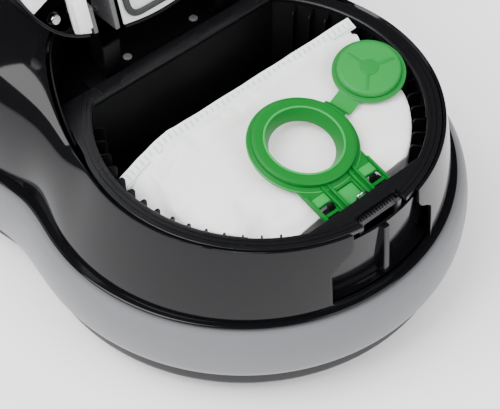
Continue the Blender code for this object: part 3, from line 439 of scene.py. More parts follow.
def reach(lobes, phi):
    """Distance from the bowl's centre to an outline, in the direction phi."""
    low = 0.08
    high = 0.40
    for _ in range(30):
        middle = (low + high) / 2
        x = BOWL_X + middle * math.cos(phi)
        inside = abs(x - lobes.rear_x) < lobes.rear_length or abs(x - lobes.front_x) < lobes.front_r
        if inside and abs(middle * math.sin(phi)) < half_width(lobes, x):
            low = middle
        else:
            high = middle
    return low


def machine_angles(count):
    """Directions from the bowl's centre, closer together where the outline is far away."""
    lobes = FOOT
    front = lobes.front_x + lobes.front_r
    rear = lobes.rear_x - lobes.rear_length
    angles = []
    for i in range(count):
        turn = math.tau * i / count
        x = (front + rear) / 2 + (front - rear) / 2 * math.cos(turn)
        y = half_width(lobes, x) if 0 < i < count and i != count // 2 else 0.0
        angles.append(math.atan2(y if turn < math.pi else -y, x - BOWL_X))
    return angles


def ring_of(lobes, z, angles):
    return [from_bowl(phi, reach(lobes, phi), z) for phi in angles]


def rear_turn(phi, start, span):
    """0 in front of an angle from the nose, 1 past it by a span, both in degrees."""
    return smoothstep((abs(math.degrees(phi)) - start) / span)


def edge_radius(phi):
    return RIM_R + 0.024 * rear_turn(phi, 105, 50)


def edge_rise(phi):
    return CREST * rear_turn(phi, 113, 32)


def lid_radius(phi):
    return edge_radius(phi) - 0.0010 - 0.0038 * rear_turn(phi, 98, 16) - 0.0042 * rear_turn(phi, 140, 30)


def lid_edge(phi):
    return 0.014 + 0.010 * rear_turn(phi, 100, 50)


def from_bowl(phi, radius, z):
    return Vector((BOWL_X + radius * math.cos(phi), radius * math.sin(phi), z))


def shell_line(phi):
    """The cover's section in one direction, as a function of 0 at its foot to 1 at its inner edge."""
    foot = from_bowl(phi, reach(FOOT, phi), FOOT_Z)
    edge = from_bowl(phi, edge_radius(phi), RIM_Z + edge_rise(phi))
    power = 1.15 + 1.45 * rear_turn(phi, 100, 42)

    def point(s):
        turn = s * math.pi / 2
        inward = 1 - max(math.cos(turn), 0.0) ** (2 / power)
        up = math.sin(turn) ** (2 / power)
        flat = foot.lerp(edge, inward)
        return Vector((flat.x, flat.y, foot.z + (edge.z - foot.z) * up))
    return point


def cover_height(x, y):
    """Height of the rear cover's skin over a place in plan."""
    line = shell_line(math.atan2(y, x - BOWL_X))
    wanted = math.hypot(x - BOWL_X, y)
    low = 0.0
    high = 1.0
    for _ in range(26):
        middle = (low + high) / 2
        point = line(middle)
        if math.hypot(point.x - BOWL_X, point.y) > wanted:
            low = middle
        else:
            high = middle
    return line(low).z


def cover_frame(x, y):
    """A place on the rear cover's skin, with +Z along the skin's normal."""
    step = 0.002
    slope_x = (cover_height(x + step, y) - cover_height(x - step, y)) / (2 * step)
    slope_y = (cover_height(x, y + step) - cover_height(x, y - step)) / (2 * step)
    normal = Vector((-slope_x, -slope_y, 1.0)).normalized()
    along = Vector((1.0, 0.0, slope_x)).normalized()
    place = Matrix((along, normal.cross(along), normal)).transposed().to_4x4()
    place.translation = (x, y, cover_height(x, y))
    return place


def handle_z():
    return cover_height(*HANDLE_PIVOT) + 0.0105


def chord_outline(radius, rear, front, count=240):
    """A circle about the bowl cut straight at the rear and at the front, in plan."""
    points = []
    for i in range(count):
        x = min(max(radius * math.cos(math.tau * i / count), rear), front)
        points.append((BOWL_X + x, radius * math.sin(math.tau * i / count)))
    return points


def collar_frame():
    return Matrix.Translation(at(*COLLAR)) @ Matrix.Rotation(COLLAR_TILT, 4, "Y")


def collar_normal():
    return (collar_frame().to_3x3() @ Vector((0.0, 0.0, 1.0))).normalized()


def cap_frame():
    return Matrix.Translation(at(*CAP)) @ CAP_NORMAL.to_track_quat("Z", "Y").to_matrix().to_4x4()


def cap_axis():
    """The living hinge: a point and a direction, about which the cap turns over onto the mouth."""
    joint = next(j for j in frame["joints"] if j["name"] == "bag_cap_hinge")
    return Vector(joint["pos_m"]), -Vector(joint["axis"]).normalized()


# ---- Repeated shapes --------------------------------------------------------------------------------
def repeat_tree():
    """Geometry nodes that set a shape along a path, evenly, turned to follow it."""
    found = bpy.data.node_groups.get("repeat_along_path")
    if found:
        return found
    tree = bpy.data.node_groups.new("repeat_along_path", "GeometryNodeTree")
    for name, kind in (("Path", "NodeSocketObject"), ("Shape", "NodeSocketObject"),
                       ("Count", "NodeSocketInt"),
                       ("Size", "NodeSocketFloat"), ("Finish", "NodeSocketMaterial")):
        tree.interface.new_socket(name, in_out="INPUT", socket_type=kind)
    tree.interface.new_socket("Geometry", in_out="OUTPUT", socket_type="NodeSocketGeometry")
    nodes = tree.nodes
    given = nodes.new("NodeGroupInput")
    path = nodes.new("GeometryNodeObjectInfo")
    shape = nodes.new("GeometryNodeObjectInfo")
    spread = nodes.new("GeometryNodeResampleCurve")
    tangent = nodes.new("GeometryNodeInputTangent")
    turn = nodes.new("FunctionNodeAlignRotationToVector")
    turn.axis = "X"
    turn.pivot_axis = "Z"
    spots = nodes.new("GeometryNodeInstanceOnPoints")
    real = nodes.new("GeometryNodeRealizeInstances")
    paint = nodes.new("GeometryNodeSetMaterial")
    result = nodes.new("NodeGroupOutput")
    wire = tree.links.new
    wire(given.outputs["Path"], path.inputs["Object"])
    wire(given.outputs["Shape"], shape.inputs["Object"])
    wire(path.outputs["Geometry"], spread.inputs["Curve"])
    wire(given.outputs["Count"], spread.inputs["Count"])
    wire(tangent.outputs["Tangent"], turn.inputs["Vector"])
    wire(spread.outputs["Curve"], spots.inputs["Points"])
    wire(shape.outputs["Geometry"], spots.inputs["Instance"])
    wire(turn.outputs["Rotation"], spots.inputs["Rotation"])
    wire(given.outputs["Size"], spots.inputs["Scale"])
    wire(spots.outputs["Instances"], real.inputs["Geometry"])
    wire(real.outputs["Geometry"], paint.inputs["Geometry"])
    wire(given.outputs["Finish"], paint.inputs["Material"])
    wire(paint.outputs["Geometry"], result.inputs["Geometry"])
    return tree


def repeated(name, shape, points, count, look, cyclic=False):
    """The shape, modelled at the origin with +X along the path, set count times along points."""
    shape = baked(shape)
    path = bpy.data.objects.new(f"{name}_path", line_curve(f"{name}_path", points, cyclic))
    bpy.context.scene.collection.objects.link(path)
    holder = add(name, bpy.data.meshes.new(name))
    step = holder.modifiers.new("repeat", "NODES")
    step.node_group = repeat_tree()
    values = {"Path": path, "Shape": shape, "Count": count, "Size": 1.0,
              "Finish": bpy.data.materials[f"{look}_finish"]}
    for item in step.node_group.interface.items_tree:
        if item.in_out == "INPUT":
            step[item.identifier] = values[item.name]
    result = baked(holder)
    bpy.data.objects.remove(path)
    bpy.data.objects.remove(shape)
    return result


# ---- Finishes ---------------------------------------------------------------------------------------
def shader_group(name, inputs, outputs):
    tree = bpy.data.node_groups.new(name, "ShaderNodeTree")
    for socket, kind, value in inputs:
        made = tree.interface.new_socket(socket, in_out="INPUT", socket_type=kind)
        if value is not None:
            made.default_value = value
    for socket, kind in outputs:
        tree.interface.new_socket(socket, in_out="OUTPUT", socket_type=kind)
    return tree, tree.nodes.new("NodeGroupInput"), tree.nodes.new("NodeGroupOutput")


def noise_node(tree, vector, scale, detail_level=3.0, roughness=0.55):
    node = tree.nodes.new("ShaderNodeTexNoise")
    node.inputs["Detail"].default_value = detail_level
    node.inputs["Roughness"].default_value = roughness
    tree.links.new(vector, node.inputs["Vector"])
    if isinstance(scale, float):
        node.inputs["Scale"].default_value = scale
    else:
        tree.links.new(scale, node.inputs["Scale"])
    return node.outputs["Fac"]


def sum_node(tree, operation, a, b):
    node = tree.nodes.new("ShaderNodeMath")
    node.operation = operation
    for slot, value in enumerate((a, b)):
        if isinstance(value, float):
            node.inputs[slot].default_value = value
        else:
            tree.links.new(value, node.inputs[slot])
    return node.outputs[0]


def range_node(tree, value, low, high, to_low, to_high):
    node = tree.nodes.new("ShaderNodeMapRange")
    for socket, given in zip(("From Min", "From Max", "To Min", "To Max"), (low, high, to_low, to_high)):
        if isinstance(given, float):
            node.inputs[socket].default_value = given
        else:
            tree.links.new(given, node.inputs[socket])
    tree.links.new(value, node.inputs["Value"])
    return node.outputs["Result"]


def mix_node(tree, factor, first, second, blend="MIX"):
    node = tree.nodes.new("ShaderNodeMix")
    node.data_type = "RGBA"
    node.blend_type = blend
    for socket, given in ((node.inputs[0], factor), (node.inputs[6], first), (node.inputs[7], second)):
        if isinstance(given, (float, tuple)):
            socket.default_value = given
        else:
            tree.links.new(given, socket)
    return node.outputs[2]


def moulded_group():
    """Moulded plastic: faint clouding of the colour, a grain, and roughness that wanders."""
    found = bpy.data.node_groups.get("moulded")
    if found:
        return found
    f = "NodeSocketFloat"
    tree, given, result = shader_group(
        "moulded",
        (("Vector", "NodeSocketVector", None), ("Colour", "NodeSocketColor", (0.5, 0.5, 0.5, 1.0)),
         ("Clouding", f, 0.15), ("Roughness", f, 0.4), ("Wander", f, 0.1), ("Grain Scale", f, 900.0),
         ("Grain", f, 1.0), ("Dust", f, 0.0)),
        (("Colour", "NodeSocketColor"), ("Roughness", f), ("Height", f)))
    vector = given.outputs["Vector"]
    cloud = noise_node(tree, vector, 14.0, 4.0)
    fine = noise_node(tree, vector, given.outputs["Grain Scale"], 2.0, 0.6)
    speck = noise_node(tree, vector, 2600.0, 1.0)
    shade = range_node(tree, cloud, 0.3, 0.7, sum_node(tree, "SUBTRACT", 1.0, given.outputs["Clouding"]), 1.0)
    darker = mix_node(tree, 1.0, given.outputs["Colour"], shade, "MULTIPLY")
    dusty = sum_node(tree, "MULTIPLY", range_node(tree, speck, 0.66, 0.74, 0.0, 1.0), given.outputs["Dust"])
    final = mix_node(tree, dusty, darker, (0.32, 0.32, 0.33, 1.0))
    spread = range_node(tree, cloud, 0.25, 0.75, -1.0, 1.0)
    rough = sum_node(tree, "ADD", given.outputs["Roughness"],
                     sum_node(tree, "MULTIPLY", spread, given.outputs["Wander"]))
    tree.links.new(final, result.inputs["Colour"])
    tree.links.new(rough, result.inputs["Roughness"])
    tree.links.new(sum_node(tree, "MULTIPLY", fine, given.outputs["Grain"]), result.inputs["Height"])
    return tree


def fleece_group():
    """Meltblown fleece: tangled fibres, pressed points and soft clouds of thickness."""
    found = bpy.data.node_groups.get("fleece_web")
    if found:
        return found
    f = "NodeSocketFloat"
    tree, given, result = shader_group(
        "fleece_web",
        (("Vector", "NodeSocketVector", None), ("Colour", "NodeSocketColor", (0.8, 0.8, 0.8, 1.0)),
         ("Fibre Scale", f, 700.0), ("Depth", f, 1.0)),
        (("Colour", "NodeSocketColor"), ("Height", f)))
    vector = given.outputs["Vector"]
    stretch = tree.nodes.new("ShaderNodeMapping")
    stretch.inputs["Scale"].default_value = (1.0, 0.35, 1.0)
    stretch.inputs["Rotation"].default_value = (0.3, 0.2, 0.6)
    tree.links.new(vector, stretch.inputs["Vector"])
    fibres = noise_node(tree, stretch.outputs["Vector"], given.outputs["Fibre Scale"], 4.0, 0.7)
    crossing = noise_node(tree, vector, 330.0, 3.0, 0.65)
    cloud = noise_node(tree, vector, 26.0, 3.0)
    tangle = sum_node(tree, "ADD", fibres, crossing)
    shade = range_node(tree, cloud, 0.3, 0.7, 0.93, 1.0)
    tint = mix_node(tree, 1.0, given.outputs["Colour"], shade, "MULTIPLY")
    thin = range_node(tree, tangle, 0.75, 1.3, 0.95, 1.0)
    tree.links.new(mix_node(tree, 1.0, tint, thin, "MULTIPLY"), result.inputs["Colour"])
    tree.links.new(sum_node(tree, "MULTIPLY", tangle, given.outputs["Depth"]), result.inputs["Height"])
    return tree


def brushed_group():
    """Drawn metal: fine lines one way and a few handling marks."""
    found = bpy.data.node_groups.get("brushed")
    if found:
        return found
    f = "NodeSocketFloat"
    tree, given, result = shader_group(
        "brushed",
        (("Vector", "NodeSocketVector", None), ("Colour", "NodeSocketColor", (0.6, 0.6, 0.6, 1.0)),
         ("Roughness", f, 0.3), ("Lines", f, 1.0)),
        (("Colour", "NodeSocketColor"), ("Roughness", f), ("Height", f)))
    stretch = tree.nodes.new("ShaderNodeMapping")
    stretch.inputs["Scale"].default_value = (30.0, 900.0, 900.0)
    tree.links.new(given.outputs["Vector"], stretch.inputs["Vector"])
    lines = noise_node(tree, stretch.outputs["Vector"], 1.0, 2.0)
    marks = noise_node(tree, given.outputs["Vector"], 90.0, 5.0, 0.7)
    shade = range_node(tree, marks, 0.3, 0.7, 0.86, 1.0)
    tree.links.new(mix_node(tree, 1.0, given.outputs["Colour"], shade, "MULTIPLY"), result.inputs["Colour"])
    tree.links.new(sum_node(tree, "ADD", given.outputs["Roughness"],
                            range_node(tree, lines, 0.2, 0.8, -0.07, 0.1)),
                   result.inputs["Roughness"])
    tree.links.new(sum_node(tree, "MULTIPLY", lines, given.outputs["Lines"]), result.inputs["Height"])
    return tree


def finish(name, group, values, bump=0.0, distance=0.0001, **constants):
    """A material whose colour, roughness and relief come from a group, and the rest from constants."""
    material = bpy.data.materials.new(f"{name}_finish")
    material.use_nodes = True
    tree = material.node_tree
    shader = tree.nodes["Principled BSDF"]
    coords = tree.nodes.new("ShaderNodeTexCoord")
    texture = tree.nodes.new("ShaderNodeGroup")
    texture.node_tree = group
    tree.links.new(coords.outputs["Object"], texture.inputs["Vector"])
    for socket, value in values.items():
        texture.inputs[socket].default_value = (*value, 1.0) if hasattr(value, "__len__") else value
    tree.links.new(texture.outputs["Colour"], shader.inputs["Base Color"])
    if "Roughness" in texture.outputs:
        tree.links.new(texture.outputs["Roughness"], shader.inputs["Roughness"])
    if bump:
        relief = tree.nodes.new("ShaderNodeBump")
        relief.inputs["Strength"].default_value = bump
        relief.inputs["Distance"].default_value = distance
        tree.links.new(texture.outputs["Height"], relief.inputs["Height"])
        tree.links.new(relief.outputs["Normal"], shader.inputs["Normal"])
    for socket, value in constants.items():
        shader.inputs[socket.replace("_", " ")].default_value = value
    return material


class VACUUM_OT_finishes(bpy.types.Operator):
    """Makes every finish of the machine"""
    bl_idname = "vacuum.finishes"
    bl_label = "Finishes"

    def execute(self, context):
        c = colours()
        moulded = moulded_group()
        finish("cover_gloss", moulded, {"Colour": c.gloss, "Clouding": 0.1, "Roughness": 0.085,
                                        "Wander": 0.02,
                                        "Grain Scale": 260.0, "Dust": 0.05}, 0.02, IOR=1.30)
        finish("rim_satin", moulded, {"Colour": c.satin, "Clouding": 0.15, "Roughness": 0.28, "Wander": 0.05,
                                      "Grain Scale": 1500.0, "Dust": 0.04}, 0.10, Specular_IOR_Level=0.35)
        finish("satin_black", moulded, {"Colour": c.satin, "Clouding": 0.2, "Roughness": 0.38, "Wander": 0.06,
                                        "Grain Scale": 1300.0, "Dust": 0.06}, 0.16, Specular_IOR_Level=0.30)
        # painted shade: a darker, less shiny copy of the satin black, for the compartment and the hinge well,
        # which lie in shade
        finish("tub_black", moulded, {"Colour": (0.0018, 0.0018, 0.0023), "Clouding": 0.2, "Roughness": 0.42,
                                      "Wander": 0.05, "Grain Scale": 1300.0, "Dust": 0.02}, 0.14,
               Specular_IOR_Level=0.16)
        # painted shade: mid-grey dots that stand in for the dark inside of the weld's perforations
        finish("pinhole", moulded, {"Colour": (0.26, 0.26, 0.27), "Roughness": 0.8})
        finish("dark_grey", moulded, {"Colour": (0.035, 0.035, 0.038), "Clouding": 0.2, "Roughness": 0.36,
                                      "Wander": 0.06, "Grain Scale": 1200.0, "Dust": 0.05}, 0.15)
        finish("fork_grey", moulded, {"Colour": (0.11, 0.11, 0.115), "Clouding": 0.2, "Roughness": 0.30,
                                      "Wander": 0.05, "Grain Scale": 1200.0, "Dust": 0.04}, 0.12)
        finish("bumper", moulded, {"Colour": c.belt, "Clouding": 0.10, "Roughness": 0.80, "Wander": 0.05,
                                   "Grain Scale": 1700.0, "Dust": 0.10}, 0.35, Sheen_Weight=0.25,
               Sheen_Roughness=0.5)
        finish("lid_white", moulded, {"Colour": c.white, "Clouding": 0.05, "Roughness": 0.30, "Wander": 0.05,
                                      "Grain Scale": 1400.0}, 0.06, Subsurface_Weight=0.10,
               Subsurface_Scale=0.004)
        finish("collar_green", moulded, {"Colour": c.green, "Clouding": 0.10, "Roughness": 0.42,
                                         "Wander": 0.04,
                                         "Grain Scale": 1200.0}, 0.05, Specular_IOR_Level=0.2)
        # a lighter green for the thin translucent panels, also used for painted highlights: rings on the mouth's
        # lip and on the flange's edge
        finish("collar_thin", moulded, {"Colour": (0.014, 0.27, 0.050), "Clouding": 0.08, "Roughness": 0.30,
                                        "Wander": 0.04, "Grain Scale": 1200.0}, 0.05, Specular_IOR_Level=0.2)
        finish("cap_green", moulded, {"Colour": c.cap_green, "Clouding": 0.08, "Roughness": 0.42,
                                      "Wander": 0.04,
                                      "Grain Scale": 1000.0}, 0.05, Specular_IOR_Level=0.2)
        finish("cap_rib", moulded, {"Colour": (0.005, 0.180, 0.027), "Clouding": 0.08, "Roughness": 0.35,
                                    "Wander": 0.04, "Grain Scale": 1000.0}, 0.05)
        finish("fleece", fleece_group(), {"Colour": c.fleece}, 0.22, 0.0002, Roughness=0.9, Sheen_Weight=0.3,
               Sheen_Roughness=0.6, Subsurface_Weight=0.2, Subsurface_Scale=0.004)
        finish("weld", fleece_group(), {"Colour": (0.60, 0.61, 0.61), "Fibre Scale": 300.0}, 0.10, 0.0001,
               Roughness=0.45)
        finish("rubber", moulded, {"Colour": (0.018, 0.018, 0.019), "Clouding": 0.25, "Roughness": 0.62,
                                   "Wander": 0.07, "Grain Scale": 1600.0, "Dust": 0.12}, 0.25)
        finish("gasket", moulded, {"Colour": (0.030, 0.031, 0.032), "Clouding": 0.15, "Roughness": 0.55,
                                   "Wander": 0.05, "Grain Scale": 1500.0}, 0.15)
        finish("steel", brushed_group(), {"Colour": (0.62, 0.62, 0.64), "Roughness": 0.24}, 0.12,
               Metallic=1.0)
        finish("aluminium", brushed_group(), {"Colour": (0.70, 0.71, 0.72), "Roughness": 0.34}, 0.2,
               Metallic=1.0)
        finish("foam", moulded, {"Colour": (0.05, 0.05, 0.058), "Clouding": 0.3, "Roughness": 0.92,
                                 "Wander": 0.03, "Grain Scale": 420.0}, 0.9, 0.0006)
        finish("felt", fleece_group(), {"Colour": (0.70, 0.71, 0.70), "Fibre Scale": 500.0}, 0.5, 0.0003,
               Roughness=0.95)
        finish("board", moulded, {"Colour": (0.012, 0.11, 0.045), "Clouding": 0.3, "Roughness": 0.4,
                                  "Wander": 0.08, "Grain Scale": 600.0}, 0.1)
        return {"FINISHED"}


FRAME_FINISHES = {
    "gloss_black": "cover_gloss", "satin_black": "satin_black", "dark_grey": "dark_grey",
    "belt_grey": "bumper",
    "white": "lid_white", "green": "collar_green", "cap_green": "cap_green", "fleece": "fleece",
    "rubber": "rubber", "steel": "steel", "aluminium": "aluminium", "foam": "foam", "filter_white": "felt",
    "board": "board",
}


class VACUUM_OT_frame_finishes(bpy.types.Operator):
    """Gives the frame's own pieces their finishes"""
    bl_idname = "vacuum.frame_finishes"
    bl_label = "Frame finishes"

    def execute(self, context):
        slots = {row["node"]: row["material_slot"] for row in frame["record"]["subparts"]}
        for name, node in frame["nodes"].items():
            material = bpy.data.materials[f"{FRAME_FINISHES[slots[name]]}_finish"]
            if not node.material_slots:
                node.data.materials.append(material)
            for slot in node.material_slots:
                slot.material = material
        return {"FINISHED"}


# ---- Covers, bumper and base --------------------------------------------------------------------------
class VACUUM_OT_shell(bpy.types.Operator):
    """Models the glossy cover with its lip, front notch, vent and button holes"""
    bl_idname = "vacuum.shell"
    bl_label = "Glossy cover"

    def execute(self, context):
        angles = machine_angles(detail().columns)
        rows = []
        for grow, z in ((0.0, -0.0014), (0.0001, -0.0007), (-0.0004, -0.0002), (-0.0014, 0.0001)):
            lobes = LIP._replace(front_r=LIP.front_r + grow, rear_length=LIP.rear_length + grow,
                                 rear_half=LIP.rear_half + grow)
            rows.append(ring_of(lobes, FOOT_Z + z, angles))
        lines = [shell_line(phi) for phi in angles]
        steps = 46
        for k in range(steps + 1):
            s = k / steps
            rows.append([line(s) for line in lines])
        shell = sheet("shell", rows, SHELL, loop=True)
        right = [(0.045, -0.0575), (0.045, -0.028), (0.0385, -0.0215), (0.0325, -0.017), (0.029, -0.012),
                 (0.029, 0.010)]
        outline = softened(right + [(-y, z) for y, z in reversed(right)], 0.0025)
        notch = plate("notch", outline, 0.060, soft=0.0)
        notch.rotation_euler = (math.pi / 2, 0.0, math.pi / 2)
        notch.location = at(0.136, 0.0, 0.0)
        cord = rod("cord_hole", (-0.260, 0.0, CORD_Z), (-0.200, 0.0, CORD_Z), 0.0095, 48, soft=0.0)
        cutters = [notch, cord]
        for place, radius in [(VENT, VENT_R + 0.0008)] + [(p, BUTTON_R + 0.0008) for p in BUTTONS.values()]:
            frame_here = cover_frame(*place)
            cutter = turned("bore", [(0.0, -0.03), (radius, -0.03), (radius, 0.03), (0.0, 0.03)], 96,
                            closed=False, soft=0.0, place=frame_here)
            cutters.append(cutter)
        shell = carved(shell, *cutters)
        rounded_edges(shell, detail().edge, 3, 45)
        shell = baked(shell)
        lugs = []
        for name, side in SIDES:
            x, y = HANDLE_PIVOT
            low, high = sorted((side * (y - 0.0125), side * (y - 0.0065)))
            base = cover_height(x, y) - 0.0010
            top = handle_z()
            arc = [(x + 0.0062 * math.cos(a), top + 0.0062 * math.sin(a))
                   for a in [math.pi * k / 16 for k in range(17)]]
            lug = plate(f"lug_{name}", [(x + 0.0085, base)] + arc + [(x - 0.0085, base)], high - low,
                        upright=True)
            lug.location.y = (low + high) / 2
            lugs.append(lug)
        settle(joined("shell_cover", shell, *lugs), "housing", "cover_gloss", ["upper_shell"],
               degrees=30)
        return {"FINISHED"}


class VACUUM_OT_bumper(bpy.types.Operator):
    """Models the soft bumper and the base under it"""
    bl_idname = "vacuum.bumper"
    bl_label = "Bumper and base"

    def execute(self, context):
        angles = machine_angles(detail().columns)
        section = eased([(0.0030, 0.0358), (0.0008, 0.0415), (0.0000, 0.0520), (0.0007, 0.0620),
                         (0.0028, 0.0702), (0.0062, 0.0742), (0.0088, 0.0752)], 26)
        section = [(0.0132, 0.0356), (0.0060, 0.0355)] + [tuple(p)[:2] for p in section] + [(0.0132, 0.0752)]
        belt = loft("bumper_piece", [ring_of(inset(BUMPER, d), z, angles) for d, z in section], closed=True)
        settle(belt, "housing", "bumper", ["bumper_belt"], degrees=60)
        section = softened([(0.0140, 0.0120), (0.0090, 0.0180), (0.0090, 0.0352), (0.0136, 0.0352),
                            (0.0136, 0.0742), (0.0162, 0.0742), (0.0162, 0.0190), (0.0190, 0.0150)], 0.0025,
                            4,
                           closed=False)
        pan = loft("base", [ring_of(inset(BUMPER, d), z, angles[::2]) for d, z in section])
        wells = [rod(f"well_{n}", (x, y, 0.0), (x, y, CUP_Z), CUP_R, 64, soft=0.0)
                 for n, (x, y) in CASTORS.items()]
        cups = [turned(f"cup_{n}", [(CUP_R + 0.0023, CUP_Z + 0.0023), (CUP_R + 0.0023, 0.0140),
                                    (CUP_R, 0.0140),
                                    (CUP_R, CUP_Z), (0.0046, CUP_Z), (0.0046, CUP_Z + 0.0023)], 64,
                       place=Matrix.Translation((x, y, 0.0))) for n, (x, y) in CASTORS.items()]
        ribs = []
        for k in range(9):
            x = -0.060 + 0.015 * k
            ribs.append(box(f"floor_rib_{k}", (x - 0.0010, -0.070, 0.0118), (x + 0.0010, 0.070, 0.0140)))
        pan = carved(pan, *wells)
        rounded_edges(pan, 0.0006, 2, 45)
        settle(joined("base_tray", pan, *cups, *ribs), "housing", "satin_black", ["base_pan"])
        return {"FINISHED"}


# ---- Rim, compartment and recess ------------------------------------------------------------------------
def groove(radius, width, depth):
    """A ring to cut in the rim's top."""
    return turned("groove", [(radius + width, RIM_Z + 0.002), (radius + width, RIM_Z - depth),
                             (radius, RIM_Z - depth), (radius, RIM_Z + 0.002)], 240, soft=0.0,
                  place=Matrix.Translation((BOWL_X, 0.0, 0.0)))


class VACUUM_OT_rim(bpy.types.Operator):
    """Models the rim's deck with its grooves and the slot for the latch"""
    bl_idname = "vacuum.rim"
    bl_label = "Rim deck"

    def execute(self, context):
        outer = []
        for i in range(240):
            phi = math.tau * i / 240
            phi = phi - math.tau if phi > math.pi else phi
            radius = edge_radius(phi) - 0.0029 - 0.0023 * smoothstep((abs(math.degrees(phi)) - 106) / 8)
            outer.append((max(radius * math.cos(phi), WELL_X) + BOWL_X, radius * math.sin(phi)))
        opening = chord_outline(OPENING_R, PARTITION_X, LEDGE_X)
        deck = plate("deck", outer, 0.004, holes=(opening,), soft=0.0006)
        deck.location.z = RIM_Z - 0.002
        slot = box("slot", at(0.1120, -0.0190, -0.010), at(0.1400, 0.0190, 0.010), 0.0)
        deck = carved(baked(deck), slot, groove(0.1192, 0.0005, 0.0007), groove(0.1158, 0.0004, 0.0005))
        ribs = [box(f"band_rib_{k}", at(-0.0895, y - 0.0006, -0.0005), at(-0.0795, y + 0.0006, 0.0006))
                for k, y in enumerate((-0.079, -0.0705, 0.0705, 0.079))]
        bead = tube("opening_bead", [at(x - BOWL_X, y, -0.0008) for x, y in
                                     chord_outline(OPENING_R - 0.0002, PARTITION_X + 0.0002, 0.2,
                                                   160)[20:141]],
                    0.0006, 3)
        settle(joined("rim_top", deck, bead, *ribs), "housing", "rim_satin", ["rim_deck"])
        return {"FINISHED"}


class VACUUM_OT_compartment(bpy.types.Operator):
    """Models the bag's compartment with its rows of fins"""
    bl_idname = "vacuum.compartment"
    bl_label = "Compartment"

    def execute(self, context):
        top = RIM_Z - 0.0044
        floor = RIM_Z - TUB_DEPTH
        outer = chord_outline(OPENING_R + 0.0018, PARTITION_X - 0.0018, 0.1125)
        inner = chord_outline(OPENING_R, PARTITION_X, 0.1107)

        def level(points, z):
            return [Vector((x, y, z)) for x, y in points]
        tub = loft("tub",
                   [level(outer, floor), level(outer, top), level(inner, top), level(inner, floor + 0.0018)])
        rounded_edges(tub, 0.0004, 2, 60)
        low = floor + 0.001
        fin = softened([(0.1040, low), (0.1040, top - 0.0042), (0.1056, top - 0.0018),
                        (0.1136, top - 0.0012), (0.1136, low)], 0.0010)
        radius = 0.1096
        shape = plate("fin", [(r - radius, z) for r, z in fin], 0.0013, soft=0.0003)
        shape.rotation_euler = (math.pi / 2, 0.0, -math.pi / 2)
        rows = []
        last = 34 + 6.5 * 14
        for side in (1, -1):
            arc = [from_bowl(math.radians(34 + (last - 34) * k / 90) * side, radius, 0.0) for k in range(91)]
            if side < 0:
                arc.reverse()
            rows.append(repeated(f"fins_{side}", add(f"fin_{side}", baked_copy(shape)), arc, detail().fins,
                                 "satin_black"))
        bpy.data.objects.remove(shape)
        # the compartment's walls take the darker black, which paints the shade inside it
        settle(joined("compartment", tub, *rows), "housing", "tub_black", ["bag_tub"])
        return {"FINISHED"}


def baked_copy(thing):
    bpy.context.view_layer.update()
    graph = bpy.context.evaluated_depsgraph_get()
    mesh = bpy.data.meshes.new_from_object(thing.evaluated_get(graph), depsgraph=graph)
    mesh.transform(thing.matrix_world)
    return mesh


class VACUUM_OT_recess(bpy.types.Operator):
    """Models the panel behind the front notch and the catch for the latch"""
    bl_idname = "vacuum.recess"
    bl_label = "Recess and catch"

    def execute(self, context):
        rows = []
        steps = [(0.09, 0.0), (0.095, 0.30), (0.10, 0.65), (0.11, 0.94), (0.13, 1.0)]
        steps += [(0.16 + 0.54 * k / 10, 1.0) for k in range(11)]
        for s, inward in steps:
            row = []
            for i in range(41):
                phi = math.radians(-23 + 46 * i / 40)
                point = shell_line(phi)(s)
                skin = math.hypot(point.x - BOWL_X, point.y) - SHELL - 0.0022
                upright = min(skin, 0.1215)
                row.append(from_bowl(phi, skin + (upright - skin) * inward, point.z))
            rows.append(row)
        panel = sheet("panel", rows, 0.0020)
        line = shell_line(0.0)
        rib_rows = []
        for k in range(9):
            p = line(0.17 + 0.51 * k / 8)
            front = p.x - 0.0030
            back = min(BOWL_X + 0.1212, front - 0.0030)
            rib_rows.append([Vector((x, y, p.z)) for x, y in
                             ((back, -0.0026), (front - 0.0006, -0.0024), (front, -0.0018), (front, 0.0018),
                              (front - 0.0006, 0.0024), (back, 0.0026))])
        rib = loft("rib", rib_rows)
        settle(joined("recess", panel, rib), "housing", "cover_gloss", ["recess_panel"])
        bar = box("bar", at(0.1126, -0.0185, -0.0095), at(0.1155, 0.0185, -0.0044))
        feet = [box(f"foot_{s}", at(0.1126, min(s * 0.0150, s * 0.0185), -0.0180),
                    at(0.1180, max(s * 0.0150, s * 0.0185), -0.0044)) for s in (-1, 1)]
        tooth = box("tooth", (-0.0007, -0.0014, -0.0010), (0.0007, 0.0014, 0.0022), 0.0004)
        comb = repeated("comb", tooth, [at(0.1141, -0.0140, -0.0042), at(0.1141, 0.0140, -0.0042)], 13,
                        "satin_black")
        low_bar = rod("pin", at(0.1152, -0.0170, -0.0072), at(0.1152, 0.0170, -0.0072), 0.0011)
        settle(joined("catch", bar, *feet, low_bar), "housing", "dark_grey", ["catch_bar"])
        settle(comb, "housing", "satin_black")
        return {"FINISHED"}


